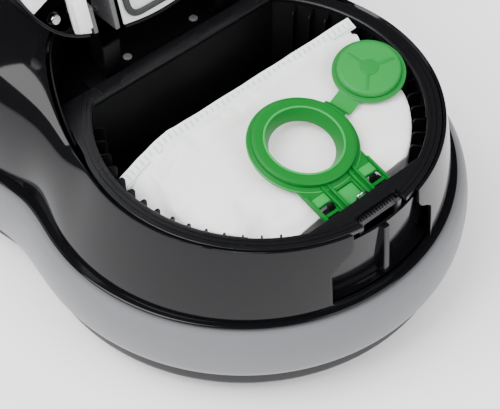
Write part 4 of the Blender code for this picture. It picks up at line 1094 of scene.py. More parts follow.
# ---- Hinges ----------------------------------------------------------------------------------------------
class VACUUM_OT_hinge_well(bpy.types.Operator):
    """Models the well behind the compartment with its brackets, knuckles and pins"""
    bl_idname = "vacuum.hinge_well"
    bl_label = "Hinge well"

    def execute(self, context):
        low = -0.0108
        high = -0.0085
        chord = WELL_X - 0.0004
        arc = []
        sections = []
        for k in range(129):
            phi = math.radians(116 + 128 * k / 128)
            signed = phi - math.tau if phi > math.pi else phi
            outer = edge_radius(signed) - 0.0027
            top = RIM_Z + max(edge_rise(signed) - 0.0006, 0.0002)
            sections.append([from_bowl(phi, outer, RIM_Z + low + 0.0004), from_bowl(phi, outer, top - 0.0004),
                             from_bowl(phi, outer - 0.0004, top), from_bowl(phi, outer - 0.0011, top),
                             from_bowl(phi, outer - 0.0015, top - 0.0004),
                             from_bowl(phi, outer - 0.0015, RIM_Z + low + 0.0004)])
            if 130 <= math.degrees(phi) <= 230:
                arc.append((BOWL_X + min(outer * math.cos(phi), chord), outer * math.sin(phi)))
        floor = plate("floor", arc, high - low)
        floor.location.z = RIM_Z + (low + high) / 2
        parts = [floor, loft("wall", sections),
                 box("well_front", at(chord - 0.0024, -0.092, low + 0.0004), at(chord, 0.092, -0.0050))]
        for side in (-1, 1):
            y0, y1 = sorted((side * 0.0430, side * 0.0575))
            parts.append(box(f"bracket_{side}", at(-0.0965, y0, low + 0.0008), at(-0.0940, y1, 0.024),
                             0.0006))
            for k, y in enumerate((0.0445, 0.0560)):
                parts.append(box(f"gusset_{side}_{k}", at(-0.1010, side * y - 0.0007, low + 0.001),
                                 at(-0.0962, side * y + 0.0007, 0.0060)))
            y0, y1 = sorted((side * 0.0430, side * 0.0700))
            parts.append(box(f"step_{side}", at(-0.1060, y0, low + 0.0008), at(-0.0915, y1, -0.0060), 0.0005))
            post = [(-0.1380, low + 0.001), (-0.1180, low + 0.001), (-0.1235, 0.0240)]
            post += [(HINGE[0] + 0.0045 * math.cos(a), HINGE[2] + 0.0045 * math.sin(a))
                     for a in [math.pi * k / 24 for k in range(25)]]
            post += [(-0.1325, 0.0240)]
            bore = [(HINGE[0] + 0.0023 * math.cos(a), HINGE[2] + 0.0023 * math.sin(a))
                    for a in [math.tau * k / 32 for k in range(32)]]
            knuckle = plate(f"knuckle_{side}", post, 0.009, holes=(bore,), upright=True)
            knuckle.location = at(0.0, side * 0.0455, 0.0)
            parts.append(knuckle)
        # the hinge well takes the darker black, which paints the shade inside it
        settle(joined("hinge_bay", *parts), "housing", "tub_black", ["hinge_carrier"])
        for name, side in SIDES:
            pin = rod(f"pin_{name}", at(HINGE[0], side * 0.0325, HINGE[2]),
                      at(HINGE[0], side * 0.0590, HINGE[2]),
                      0.0020, 40, soft=0.0006)
            settle(pin, "housing", "steel", [f"hinge_pin_{name}"])
            screw = turned(f"well_screw_{name}", [(0.0, 0.0016), (0.0018, 0.0014), (0.0034, 0.0006),
                                                  (0.0034, 0.0),
                                                  (0.0, 0.0)], 36, closed=False,
                           place=Matrix.Translation(at(-0.1050, side * 0.0300, high + 0.0001)))
            cross = [box(f"cross_{k}", (-0.0022, -0.0004, 0.0010), (0.0022, 0.0004, 0.0030), 0.0)
                     for k in range(2)]
            for k, bar in enumerate(cross):
                bar.matrix_world = (Matrix.Translation(at(-0.1050, side * 0.0300, high + 0.0001))
                                    @ Matrix.Rotation(math.pi / 2 * k, 4, "Z")
                                    @ Matrix.Translation(bar.location))
            settle(carved(screw, *cross), "housing", "fork_grey")
        return {"FINISHED"}


# ---- Dust bag ----------------------------------------------------------------------------------------------
def strap_piece(name, hub, normal, path, gap):
    """Half of the strap: from a hub by way of a path, each point a distance out and a height, to the crease."""
    axis_point, direction = cap_axis()
    near = axis_point + direction * (hub - axis_point).dot(direction)
    out = ((near - hub) - normal * (near - hub).dot(normal)).normalized()
    points = [hub + out * distance + normal * height for distance, height in path]
    points.append(near - (near - points[-1]).normalized() * gap)
    fine = [points[i].lerp(points[i + 1], k / 6)
            for i in range(len(points) - 1) for k in range(6)] + [points[-1]]
    rings = []
    for p in fine:
        ring = []
        for a, b in ((-1.0, -0.4), (-0.985, -1.0), (0.985, -1.0), (1.0, -0.4), (1.0, 0.4), (0.985, 1.0),
                     (-0.985, 1.0), (-1.0, 0.4)):
            ring.append(p + direction * STRAP_HALF * a + normal * 0.0004 * b)
        rings.append(ring)
    return loft(name, rings)


def in_frame(thing, place):
    thing.matrix_world = place @ thing.matrix_world
    return thing


class VACUUM_OT_collar(bpy.types.Operator):
    """Models the bag's green collar: mouth, windowed plate, rails and half of the strap"""
    bl_idname = "vacuum.collar"
    bl_label = "Bag collar"

    def execute(self, context):
        place = collar_frame()
        ring = turned("mouth", [(0.0352, 0.0000), (0.0352, -0.0034), (0.0382, -0.0042), (0.0382, -0.0064),
                                (0.0246, -0.0064), (0.0246, -0.0100), (0.0225, -0.0100), (0.0236, -0.0060),
                                (MOUTH_R, 0.0000), (MOUTH_R + 0.0020, 0.0007), (0.0330, 0.0007)], 128,
                      soft=0.0006, place=place)
        windows = [[(0.0400, -0.0070), (0.0400, 0.0070), (0.0535, 0.0070), (0.0535, -0.0070)]]
        for side in (-1, 1):
            y0, y1 = side * 0.0155, side * 0.0265
            windows.append([(0.0440, y0), (0.0440, y1), (0.0500, y1), (0.0500, y0)])
            windows.append([(0.0525, y0), (0.0525, y1), (0.0560, y1), (0.0560, y0)])
        windows = [softened(w, 0.0012) for w in windows]
        border = softened([(0.0150, -0.0285), (0.0615, -0.0285), (0.0615, 0.0285), (0.0150, 0.0285)], 0.0030)
        tongue = plate("tongue", border, 0.0022, holes=windows)
        tongue.location.z = -0.0055
        bore = rod("mouth_cut", (0.0, 0.0, -0.02), (0.0, 0.0, 0.02), 0.0290, 96, soft=0.0)
        tongue = carved(baked(tongue), bore)
        parts = [ring, in_frame(tongue, place)]
        for k, y in enumerate((-0.0275, -0.0137, -0.0093, 0.0093, 0.0137, 0.0275)):
            bar = box(f"rail_{k}", (0.0325, y - 0.0009, -0.0066), (0.0612, y + 0.0009, -0.0022), 0.0004)
            parts.append(in_frame(bar, place))
        arch = [(0.0385, -0.0093, -0.0026)]
        arch += [(0.0560 + 0.0042 * math.sin(a), -0.0093 * math.cos(a), -0.0034)
                 for a in [math.pi * k / 24 for k in range(25)]]
        arch += [(0.0385, 0.0093, -0.0026)]
        parts.append(in_frame(tube("arch", [Vector(p) for p in arch], 0.0008, 3), place))
        parts.append(strap_piece("collar_strap", at(*COLLAR) + collar_normal() * -0.0052, collar_normal(),
                                 ((0.0346, 0.0), (0.0378, 0.0)), 0.0005))
        settle(joined("collar", *parts), "housing", "collar_green", ["bag_collar"])
        panels = []
        for side in (-1, 1):
            panels.append(in_frame(box(f"thin_{side}", (0.0365, side * 0.0205 - 0.0056, -0.0046),
                                       (0.0432, side * 0.0205 + 0.0056, -0.0040)), place))
        panels.append(in_frame(box("thin_middle", (0.0402, -0.0068, -0.0066), (0.0533, 0.0068, -0.0060)),
                               place))
        # painted highlights: lighter green rings laid on the mouth's rounded lip and on the flange's outer edge
        lip = turned("lip_line", [(0.0262, 0.0009), (0.0270, 0.0012), (0.0278, 0.0009), (0.0278, 0.0004),
                                  (0.0262, 0.0004)], 128, soft=0.0002, place=place)
        rim = turned("flange_line",
                     [(0.0379, -0.0040), (0.0385, -0.0044), (0.0385, -0.0050), (0.0376, -0.0050)],
                     128, soft=0.0002, place=place)
        settle(joined("collar_light", *panels, lip, rim), "housing", "collar_thin")
        return {"FINISHED"}


class VACUUM_OT_cap(bpy.types.Operator):
    """Models the bag's stopper, open beside the mouth on its half of the strap"""
    bl_idname = "vacuum.cap"
    bl_label = "Bag cap"

    def execute(self, context):
        place = cap_frame()
        flange = turned("flange", [(0.0222, 0.0002), (0.0258, 0.0000), (0.0258, -0.0018), (0.0000, -0.0018),
                                   (0.0000, 0.0002)], 128, closed=False, soft=0.0004, place=place)
        strap = strap_piece("cap_strap", at(*CAP) + CAP_NORMAL * -0.0009, CAP_NORMAL,
                            ((0.0229, 0.0), (0.0366, 0.0006), (0.0400, 0.0061)), 0.0015)
        disc = turned("disc", [(0.0000, 0.0048), (0.0205, 0.0048), (0.0222, 0.0034), (0.0225, 0.0001),
                               (0.0000, 0.0001)], 128, closed=False, soft=0.0012, place=place)
        settle(joined("stopper", disc, strap), "bag_cap", "cap_green", ["bag_cap"])
        ribs = [flange]
        for k in range(3):
            rib = box(f"rib_{k}", (0.0060, -0.0011, 0.0040), (0.0190, 0.0011, 0.0051), 0.0003)
            turn = Matrix.Rotation(math.tau * k / 3 + 0.4, 4, "Z")
            ribs.append(in_frame(rib, place @ turn))
        ribs.append(turned("hub", [(0.0000, 0.0052), (0.0064, 0.0052), (0.0064, 0.0040), (0.0, 0.0040)], 64,
                           closed=False, soft=0.0003, place=place))
        settle(joined("stopper_ribs", *ribs), "bag_cap", "cap_rib")
        return {"FINISHED"}


class VACUUM_OT_cradle(bpy.types.Operator):
    """Models the holder under the collar's plate and the ring hook on the ledge"""
    bl_idname = "vacuum.cradle"
    bl_label = "Bag cradle"

    def execute(self, context):
        parts = [box("holder", at(0.1025, -0.0215, -0.0340), at(0.1085, 0.0215, -0.0200), 0.0006)]
        for side in (-1, 1):
            low, high = sorted((side * 0.0165, side * 0.0213))
            parts.append(box(f"arm_{side}", at(0.0895, low, -0.0240), at(0.1030, high, -0.0205), 0.0006))
            parts.append(box(f"tip_{side}", at(0.0895, low, -0.0215), at(0.0925, high, -0.0040), 0.0009))
            low, high = sorted((side * 0.0160, side * 0.0260))
            parts.append(box(f"barb_{side}", at(0.0888, low, -0.0150), at(0.0934, high, -0.0098), 0.0005))
        settle(joined("cradle", *parts), "housing", "satin_black", ["bag_cradle"])
        centre = at(0.1000, 0.0, -0.0030)
        loop = [centre + Vector((0.0, 0.0042 * math.cos(a), 0.0030 * math.sin(a)))
                for a in [math.tau * k / 40 for k in range(41)]]
        settle(tube("ring_hook", loop, 0.0008, 3), "housing", "steel")
        return {"FINISHED"}


SEAM = ((-0.0255, -0.1010, 0.1215), (-0.0290, -0.0790, 0.1262), (-0.0310, -0.0580, 0.1305),
        (-0.0300, -0.0370, 0.1318), (-0.0280, 0.0120, 0.1348), (-0.0263, 0.0600, 0.1378),
        (-0.0250, 0.1060, 0.1405))


def seam_line(count):
    """The bag's rear welded edge from its left end to its right."""
    return [Vector((BOWL_X + p.x, p.y, p.z)) for p in eased(SEAM, count)]


def bag_section(place):
    """A loop round the bag, seen along its seam: how far in front of the seam's line, and its height."""
    top = place.z
    return [(0.0, top), (0.0140, top - 0.0014), (0.0330, 0.50 * (top + 0.130) - 0.0025), (0.0560, 0.1280),
            (0.0820, 0.1268), (0.1080, 0.1250), (0.1200, 0.1170), (0.1220, 0.0900), (0.1150, 0.0680),
            (0.1000, 0.0585), (0.0600, 0.0565), (0.0150, 0.0565), (-0.0060, 0.0590), (-0.0110, 0.0720),
            (-0.0110, 0.0900), (-0.0070, 0.1100), (-0.0030, top - 0.0080)]


def hold_bag(point):
    """Keeps a point of the bag inside the compartment and below the collar and the cap."""
    x = point.x - BOWL_X
    y = point.y
    z = max(point.z, RIM_Z - TUB_DEPTH + 0.0040)
    radius = math.hypot(x, y)
    limit = BAG_WALL_GAP if z < 0.1335 else BAG_RIM_GAP
    if radius > limit:
        x, y = x * limit / radius, y * limit / radius
    x = min(max(x, PARTITION_X + 0.0030), BAG_FRONT)
    z = min(z, BAG_TOP + BAG_REAR_RISE * smoothstep((0.002 - x) / 0.028))
    point = Vector((BOWL_X + x, y, z))
    for place, (reach_out, under) in ((collar_frame(), BAG_UNDER_COLLAR), (cap_frame(), BAG_UNDER_CAP)):
        local = place.inverted() @ point
        away = math.hypot(local.x, local.y)
        if place.translation.y == 0.0 and abs(local.y) < 0.0310 and 0.0 < local.x < 0.0640:
            away = min(away, 0.0380)
        if away < reach_out:
            local.z = min(local.z, under + 0.0015 * smoothstep((away - 0.030) / 0.012))
            point = place @ local
    return point


def bag_form():
    line = seam_line(61)
    rings = []
    for k, place in enumerate(line):
        u = -1 + 2 * k / 60
        scale = max(1 - abs(u) ** 7.0, 0.0) ** 0.34
        section = [tuple(p) for p in eased(list(bag_section(place)) + [bag_section(place)[0]], 49)][:-1]
        centre = Vector((BOWL_X + 0.012, place.z - 0.040)).lerp(Vector((place.x, place.z - 0.004)),
                                                                (1 - scale) ** 1.4)
        ring = []
        for i, (ahead, z) in enumerate(section):
            pull = math.exp(-((min(i, 48 - i) / 3.2) ** 2))
            flat = centre + (Vector((place.x + ahead, z)) - centre) * max(scale, 0.02)
            flat = flat.lerp(Vector((place.x + ahead * max(scale, 0.02), z)), pull)
            ring.append(Vector((flat.x, place.y, flat.y)))
        rings.append(ring)
    return loft("bag", rings)


def swollen(bag):
    """The bag after a short run of cloth under pressure, with its welded edge held."""
    step = bag.modifiers.new("even", "REMESH")
    step.mode = "VOXEL"
    step.voxel_size = CLOTH_CELL
    bag = baked(bag)
    start = [v.co.copy() for v in bag.data.vertices]
    line = seam_line(61)
    held = bag.vertex_groups.new(name="held")
    for v in bag.data.vertices:
        if min((v.co - p).length for p in line) < WELD_HOLD:
            held.add([v.index], 1.0, "REPLACE")
    cloth = bag.modifiers.new("cloth", "CLOTH")
    cloth.settings.quality = 6
    cloth.settings.mass = 0.12
    cloth.settings.tension_stiffness = 12
    cloth.settings.compression_stiffness = 8
    cloth.settings.bending_stiffness = 0.25
    cloth.settings.use_pressure = True
    cloth.settings.uniform_pressure_force = 1.5
    cloth.settings.shrink_min = -0.08
    cloth.settings.vertex_group_mass = "held"
    cloth.settings.effector_weights.gravity = 0.0
    cloth.point_cache.frame_start = 1
    cloth.point_cache.frame_end = CLOTH_FRAMES
    scene = bpy.context.scene
    for frame_number in range(1, CLOTH_FRAMES + 1):
        scene.frame_set(frame_number)
    bag = baked(bag)
    scene.frame_set(1)
    for v, before in zip(bag.data.vertices, start):
        moved = v.co - before
        if moved.length > CLOTH_REACH:
            v.co = before + moved * (CLOTH_REACH / moved.length)
    return bag


class VACUUM_OT_dust_bag(bpy.types.Operator):
    """Models the full fleece bag with its welded edge, crimps and perforations"""
    bl_idname = "vacuum.dust_bag"
    bl_label = "Dust bag"

    def execute(self, context):
        bag = bag_form()
        bag = swollen(bag)
        step = bag.modifiers.new("finer", "SUBSURF")
        step.levels = step.render_levels = 1
        bag = baked(bag)
        for v in bag.data.vertices:
            place = Vector((v.co.x, v.co.y * 0.55 + v.co.x * 0.3, v.co.z))
            crease = 1 - abs(noise.noise(place * 46.0))
            soft = noise.noise(v.co * 21.0)
            v.co = v.co + v.normal * (0.0011 * soft + 0.0013 * (crease ** 6 - 0.35))
            v.co = hold_bag(v.co)
        line = seam_line(180)
        for v in bag.data.vertices:
            near = min(line, key=lambda p: abs(p.y - v.co.y))
            v.co.x = max(v.co.x, near.x - 0.0012 - 0.25 * max(near.z - v.co.z, 0.0))
            if v.co.x < near.x + 0.010:
                v.co.z = min(v.co.z, near.z - 0.0004)
        out = Vector((0.94, 0.0, -0.34)).normalized()
        up = Vector((0.34, 0.0, 0.94)).normalized()
        rings = []
        tops = []
        for k, p in enumerate(line):
            wave = 0.0004 * math.sin(k * 0.31) + 0.0003 * noise.noise(p * 60.0)
            near = p + up * (0.0008 + wave)
            tops.append(near)
            rings.append([near - out * 0.0004 - up * 0.0005, near + out * 0.0086 - up * 0.0008,
                          near + out * 0.0090, near + out * 0.0086 + up * 0.0003,
                          near + up * 0.0003, near - out * 0.0006])
        band = loft("band", rings)
        piece = settle(joined("fleece_bag", bag, band), "housing", "fleece", ["dust_bag"],
                       degrees=70)
        mark = [p + out * 0.0038 + up * 0.0002 for p in tops[3:-3]]
        crimp = box("crimp", (-0.0009, -0.0024, -0.0004), (0.0009, 0.0024, 0.0003), 0.0002)
        crimp.rotation_euler.x = 0.35
        crimps = repeated("crimps", crimp, mark, detail().crimps, "weld")
        edge = [p + out * 0.0078 + up * 0.0002 for p in tops[2:-2]]
        # the perforations are grey dots on the weld: painted shade in place of holes
        dot = box("dot", (-0.0003, -0.0004, -0.0003), (0.0003, 0.0004, 0.0003), 0.0)
        dots = repeated("perforations", dot, edge, detail().stitches, "pinhole")
        settle(crimps, "housing", "weld")
        settle(dots, "housing", "pinhole")
        return {"FINISHED"}


# ---- Lid -------------------------------------------------------------------------------------------------
LID_HEIGHT = 0.037


def lid_angles():
    count = 2 * (detail().columns // 3)
    return [math.tau * k / count - (math.tau if k > count / 2 else 0.0) for k in range(count)]


class VACUUM_OT_lid_shell(bpy.types.Operator):
    """Models the lid's glossy outer shell"""
    bl_idname = "vacuum.lid_shell"
    bl_label = "Lid shell"

    def execute(self, context):
        angles = lid_angles()

        def row(t, low=None):
            points = []
            for phi in angles:
                edge = lid_edge(phi)
                z = edge + (LID_HEIGHT - edge) * (1 - t ** 4) if low is None else low(edge)
                points.append(from_bowl(phi, lid_radius(phi) * t, RIM_Z + z))
            return points
        rows = [row(1.0, lambda edge: 0.0009), row(1.0, lambda edge: 0.5 * edge),
                row(1.0, lambda edge: edge - 0.0022),
                row(0.9985, lambda edge: edge - 0.0010), row(0.9935, lambda edge: edge + 0.0001)]
        rows += [row(t) for t in (0.985, 0.97, 0.95, 0.92, 0.88, 0.83, 0.78, 0.70, 0.60, 0.50, 0.35, 0.20,
                                  0.08)]
        lid = sheet("lid", rows, 0.0020, loop=True, centre=at(0.0, 0.0, LID_HEIGHT))
        cutters = [rod("neck_bore", at(*NECK, 0.0), at(*NECK, 0.060), 0.0262, 96, soft=0.0),
                   box("finger", at(0.1150, -0.0130, -0.010), at(0.1400, 0.0130, 0.0120), 0.0)]
        bosses = []
        for name, side in SIDES:
            y0, y1 = sorted((side * 0.0315, side * 0.0598))
            cutters.append(box(f"lid_notch_{name}", at(-0.160, y0, -0.010), at(-0.1150, y1, 0.050), 0.0))
            bosses.append(rod(f"boss_{name}", at(-0.1070, side * 0.0800, 0.0075),
                              at(-0.1070, side * 0.0800, 0.0255), 0.0050, 40))
        lid = carved(lid, *cutters)
        rounded_edges(lid, detail().edge, 2, 45)
        settle(joined("lid_cover", lid, *bosses), "lid", "cover_gloss", ["lid_shell"],
               on_lid=True,
               degrees=30)
        return {"FINISHED"}


class VACUUM_OT_lid_panel(bpy.types.Operator):
    """Models the lid's white inner panel and its seal"""
    bl_idname = "vacuum.lid_panel"
    bl_label = "Lid panel"

    def execute(self, context):
        def row(shrink, z, rear):
            points = []
            for phi in lid_angles():
                radius = lid_radius(phi) - 0.0026 - shrink
                points.append(at(max(radius * math.cos(phi), rear), radius * math.sin(phi), z))
            return points
        table = ((0.0, 0.0026, -1.0), (0.0054, 0.0026, -0.0690), (0.0064, 0.0031, -0.0684),
                 (0.0074, 0.0044, -0.0676),
                 (0.0096, 0.0100, -0.0662), (0.0108, 0.0125, -0.0655), (0.0140, 0.0164, -0.0636),
                 (0.0170, 0.0188, -0.0617), (0.0220, 0.0206, -0.0590), (0.0320, 0.0214, -0.0540),
                 (0.0500, 0.0219, -0.0450))
        panel = sheet("panel", [row(*line) for line in table], 0.0014, loop=True,
                      centre=at(0.020, 0.0, 0.0219))
        cutters = [rod("bore", at(*NECK, 0.0), at(*NECK, 0.060), 0.0262, 96, soft=0.0),
                   box("finger", at(0.1030, -0.0140, -0.010), at(0.1400, 0.0140, 0.0105), 0.0)]
        ribs = []
        for name, side in SIDES:
            y0, y1 = sorted((side * 0.0320, side * 0.0580))
            cutters.append(box(f"notch_{name}", at(-0.160, y0, -0.010), at(-0.0700, y1, 0.030), 0.0))
            y0, y1 = sorted((side * 0.0585, side * 0.0690))
            ribs.append(box(f"near_{name}", at(-0.1215, y0, -0.0040), at(-0.0985, y1, 0.0060), 0.0008))
            ribs.append(box(f"far_{name}", at(-0.1000, y0, 0.0008), at(-0.0700, y1, 0.0060), 0.0008))
            corner = [(-0.0830, side * 0.0700), (-0.1260, side * 0.0700), (-0.0950, side * 0.1010)]
            well = plate(f"corner_{name}", [(BOWL_X + x, y) for x, y in corner], 0.030, soft=0.0)
            well.location.z = RIM_Z + 0.005
            cutters.append(well)
        panel = carved(panel, *cutters)
        rounded_edges(panel, 0.0004, 2, 45)
        settle(joined("lid_inner", panel, *ribs), "lid", "lid_white", ["lid_panel"], on_lid=True)
        outer = softened([(-0.1330, -0.0290), (-0.1330, 0.0290), (-0.0930, 0.0310), (-0.0930, -0.0310)],
                         0.0120, 8)
        inner = softened([(-0.1290, -0.0245), (-0.1290, 0.0245), (-0.0970, 0.0265), (-0.0970, -0.0265)],
                         0.0085, 8)
        seal = plate("seal", [(BOWL_X + x, y) for x, y in outer], 0.0030, soft=0.0010,
                     holes=([(BOWL_X + x, y) for x, y in inner],))
        seal.location.z = RIM_Z - 0.0006
        settle(seal, "lid", "gasket", ["lid_gasket"], on_lid=True)
        return {"FINISHED"}


class VACUUM_OT_lid_fittings(bpy.types.Operator):
    """Models the lid's hinge arms, screws, latch, hose neck and swivel"""
    bl_idname = "vacuum.lid_fittings"
    bl_label = "Lid fittings"

    def execute(self, context):
        for name, side in SIDES:
            hub = [(HINGE[0] + 0.0042 * math.cos(a), HINGE[2] + 0.0042 * math.sin(a))
                   for a in [math.radians(85 + 114 * k / 18) for k in range(19)]]
            inner = hub + [(-0.1365, 0.0030), (-0.1000, 0.0016), (-0.0740, 0.0016), (-0.0740, 0.0065),
                           (-0.1020, 0.0175), (-0.1080, 0.0230)]
            outer = hub + [(-0.1300, 0.0016), (-0.1100, 0.0016), (-0.1040, 0.0150), (-0.1080, 0.0230)]
            arm = plate(f"arm_{name}", inner, 0.0040, upright=True, soft=0.0008)
            arm.location = at(0.0, side * 0.0365, 0.0)
            cheek = plate(f"cheek_{name}", outer, 0.0036, upright=True, soft=0.0008)
            cheek.location = at(0.0, side * 0.0542, 0.0)
            y0, y1 = sorted((side * 0.0347, side * 0.0558))
            web = box(f"web_{name}", at(-0.1140, y0, 0.0195), at(-0.1060, y1, 0.0220))
            bore = rod(f"bore_{name}", at(HINGE[0], side * 0.028, HINGE[2]),
                       at(HINGE[0], side * 0.062, HINGE[2]),
                       0.0024, 32, soft=0.0)
            fork = carved(joined(f"fork_{name}", arm, cheek, web), bore)
            settle(fork, "lid", "fork_grey", [f"hinge_arm_{name}"], on_lid=True)
            head = turned(f"screw_{name}", [(0.0000, 0.0000), (0.0030, 0.0004), (0.0038, 0.0014),
                                            (0.0038, 0.0026),
                                            (0.0016, 0.0026), (0.0016, 0.0040), (0.0000, 0.0040)][::-1], 48,
                          closed=False, soft=0.0003)
            head.location = at(-0.1070, side * 0.0800, 0.0030)
            settle(head, "lid", "steel", [f"lid_screw_{name}"], on_lid=True)
        neck = turned("neck", [(0.0258, 0.0520), (0.0258, 0.0400), (0.0320, 0.0400), (0.0320, 0.0374),
                               (0.0258, 0.0374), (0.0258, 0.0160), (0.0205, 0.0125), (0.0190, 0.0125),
                               (0.0235, 0.0165), (0.0235, 0.0520)], 96)
        neck.location = at(*NECK, 0.0)
        settle(neck, "lid", "satin_black", ["hose_neck"], on_lid=True)
        ring = turned("ring", [(0.0330, 0.0580), (0.0340, 0.0560), (0.0340, 0.0440), (0.0320, 0.0412),
                               (0.0262, 0.0412), (0.0262, 0.0528), (0.0215, 0.0528), (0.0215, 0.0580)], 96,
                      soft=0.0007)
        ring.location = at(*NECK, 0.0)
        parts = [ring]
        for k in range(2):
            grip = box(f"grip_{k}", (-0.0030, 0.0325, 0.0440), (0.0030, 0.0365, 0.0560), 0.0008)
            grip.matrix_world = Matrix.Translation(at(*NECK, 0.0)) @ Matrix.Rotation(math.pi * k, 4, "Z")
            parts.append(grip)
        settle(joined("swivel", *parts), "hose_swivel", "dark_grey", ["hose_swivel"],
               on_lid=True)
        shape = softened([(0.1130, 0.0078), (0.1238, 0.0078), (0.1238, 0.0030), (0.1195, 0.0030),
                          (0.1190, -0.0095),
                          (0.1180, -0.0115), (0.1170, -0.0095), (0.1170, 0.0030), (0.1130, 0.0040)], 0.0008)
        lever = plate("lever", [(BOWL_X + x, z) for x, z in shape], 0.022, upright=True, soft=0.0006)
        lever.location.z = RIM_Z
        settle(lever, "latch", "satin_black", ["latch_lever"], on_lid=True)
        return {"FINISHED"}


# ---- Rear cover's fittings and castors ---------------------------------------------------------------------
class VACUUM_OT_grille(bpy.types.Operator):
    """Models the exhaust grille and its filter, the buttons and the cord's bush"""
    bl_idname = "vacuum.grille"
    bl_label = "Exhaust and buttons"

    def execute(self, context):
        place = cover_frame(*VENT)
        ring = turned("vent_ring", [(VENT_R, 0.0012), (VENT_R, -0.0040), (VENT_R - 0.003, -0.0040),
                                    (VENT_R - 0.003, 0.0012)], 128, soft=0.0008, place=place)
        spine = in_frame(box("spine", (-0.0018, 0.0010 - VENT_R, -0.0040),
                             (0.0018, VENT_R - 0.0010, -0.0012)), place)
        parts = [ring, spine]
        count = detail().slats
        for k in range(count):
            y = -0.0280 + 0.0560 * k / (count - 1)
            half = math.sqrt((VENT_R - 0.0014) ** 2 - y * y)
            parts.append(in_frame(box(f"slat_{k}", (-half, y - 0.0010, -0.0034), (half, y + 0.0010, 0.0006),
                                      0.0006),
                                  place))
        settle(joined("vent_grille", *parts), "housing", "satin_black", ["exhaust_grille"])
        pad = turned("vent_filter", [(0.0, -0.0190), (VENT_R - 0.0020, -0.0190), (VENT_R - 0.0020, -0.0330),
                                     (0.0, -0.0330)], 96, closed=False, soft=0.0010, place=place)
        settle(pad, "housing", "felt")
        for name, spot in BUTTONS.items():
            cap = turned(f"{name}_cap", [(0.0000, 0.0058), (0.0100, 0.0055), (0.0122, 0.0046),
                                         (BUTTON_R, 0.0030),
                                         (BUTTON_R, -0.0060), (0.0000, -0.0060)], 72, closed=False,
                                         soft=0.0006,
                         place=cover_frame(*spot))
            settle(cap, name, "dark_grey", [name])
        bush = turned("bush", [(0.0090, 0.0100), (0.0090, 0.0030), (0.0125, 0.0030), (0.0125, 0.0008),
                               (0.0112, 0.0000), (0.0052, 0.0000), (0.0045, 0.0010), (0.0045, 0.0100)], 64)
        bush.rotation_euler.y = math.pi / 2
        bush.location = (-0.2375, 0.0, CORD_Z)
        settle(bush, "housing", "rubber", ["cord_gland"])
        return {"FINISHED"}


class VACUUM_OT_handle(bpy.types.Operator):
    """Models the carrying handle and its pins"""
    bl_idname = "vacuum.handle"
    bl_label = "Handle"

    def execute(self, context):
        x, y = HANDLE_PIVOT
        corner = 0.016
        path = [(x - 0.004, y), (x - HANDLE_REACH * 0.45, y), (x - HANDLE_REACH + corner, y)]
        for k in range(1, 13):
            turn = math.pi / 2 * k / 12
            path.append((x - HANDLE_REACH + corner - corner * math.sin(turn),
                         y - corner + corner * math.cos(turn)))
        path += [(px, -py) for px, py in reversed(path)]
        drop = (handle_z() - cover_height(x - HANDLE_REACH, y) - 0.0120) / HANDLE_REACH
        points = [Vector((px, py, handle_z() - (x - px) * drop)) for px, py in path]
        bores = []
        parts = [tube("bail", points, 0.0045, 6)]
        for name, side in SIDES:
            low, high = sorted((side * (y - 0.0045), side * (y + 0.0045)))
            parts.append(rod(f"eye_{name}", (x, low, handle_z()), (x, high, handle_z()), 0.0062, 48))
            bores.append(rod(f"bore_{name}", (x, side * (y - 0.010), handle_z()),
                             (x, side * (y + 0.010), handle_z()), 0.0024, 32, soft=0.0))
            pin = rod(f"bail_pin_{name}", (x, side * (y - 0.0130), handle_z()),
                      (x, side * (y + 0.0052), handle_z()),
                      0.0021, 32)
            settle(pin, "housing", "steel", [f"handle_pin_{name}"])
        handle = joined("handle", *parts)
        merge = handle.modifiers.new("merge", "REMESH")
        merge.mode = "VOXEL"
        merge.voxel_size = 0.0009
        handle = baked(handle)
        ease = handle.modifiers.new("ease", "CORRECTIVE_SMOOTH")
        ease.iterations = 6
        settle(carved(baked(handle), *bores), "carry_handle", "satin_black", ["carry_handle"])
        return {"FINISHED"}


class VACUUM_OT_castors(bpy.types.Operator):
    """Models the four castors: fork, axle and wheel"""
    bl_idname = "vacuum.castors"
    bl_label = "Castors"

    def execute(self, context):
        for name, (x, y) in CASTORS.items():
            place = Matrix.Translation((x, y, 0.0))
            fork = turned(f"fork_{name}", [(0.0000, 0.0440), (0.0040, 0.0440), (0.0040, CUP_Z - 0.0006),
                                           (0.0200, CUP_Z - 0.0006), (0.0255, 0.0360), (0.0262, 0.0200),
                                           (0.0240, 0.0060), (0.0000, 0.0060)], 72, closed=False, soft=0.0010,
                          place=place)
            slot = box(f"slot_{name}", (x - TRAIL - 0.0170, y - 0.0082, -0.0010),
                       (x - TRAIL + 0.0170, y + 0.0082, 0.0325), 0.0)
            bore = rod(f"axle_bore_{name}", (x - TRAIL, y - 0.0180, WHEEL_R),
                       (x - TRAIL, y + 0.0180, WHEEL_R),
                       0.0023, 32, soft=0.0)
            settle(carved(fork, slot, bore), f"castor_{name}", "satin_black", [f"castor_fork_{name}"])
            axle = rod(f"axle_{name}", (x - TRAIL, y - 0.0170, WHEEL_R), (x - TRAIL, y + 0.0170, WHEEL_R),
                       0.0020, 32)
            settle(axle, f"castor_{name}", "steel", [f"castor_axle_{name}"])
            wheel = turned(f"roller_{name}", [(0.0130, 0.0070), (WHEEL_R, 0.0045), (WHEEL_R, -0.0045),
                                              (0.0130, -0.0070), (0.0024, -0.0070), (0.0024, 0.0070)], 72,
                           soft=0.0008)
            wheel.rotation_euler.x = math.pi / 2
            wheel.location = (x - TRAIL, y, WHEEL_R)
            settle(wheel, f"wheel_{name}", "rubber", [f"castor_wheel_{name}"])
        return {"FINISHED"}


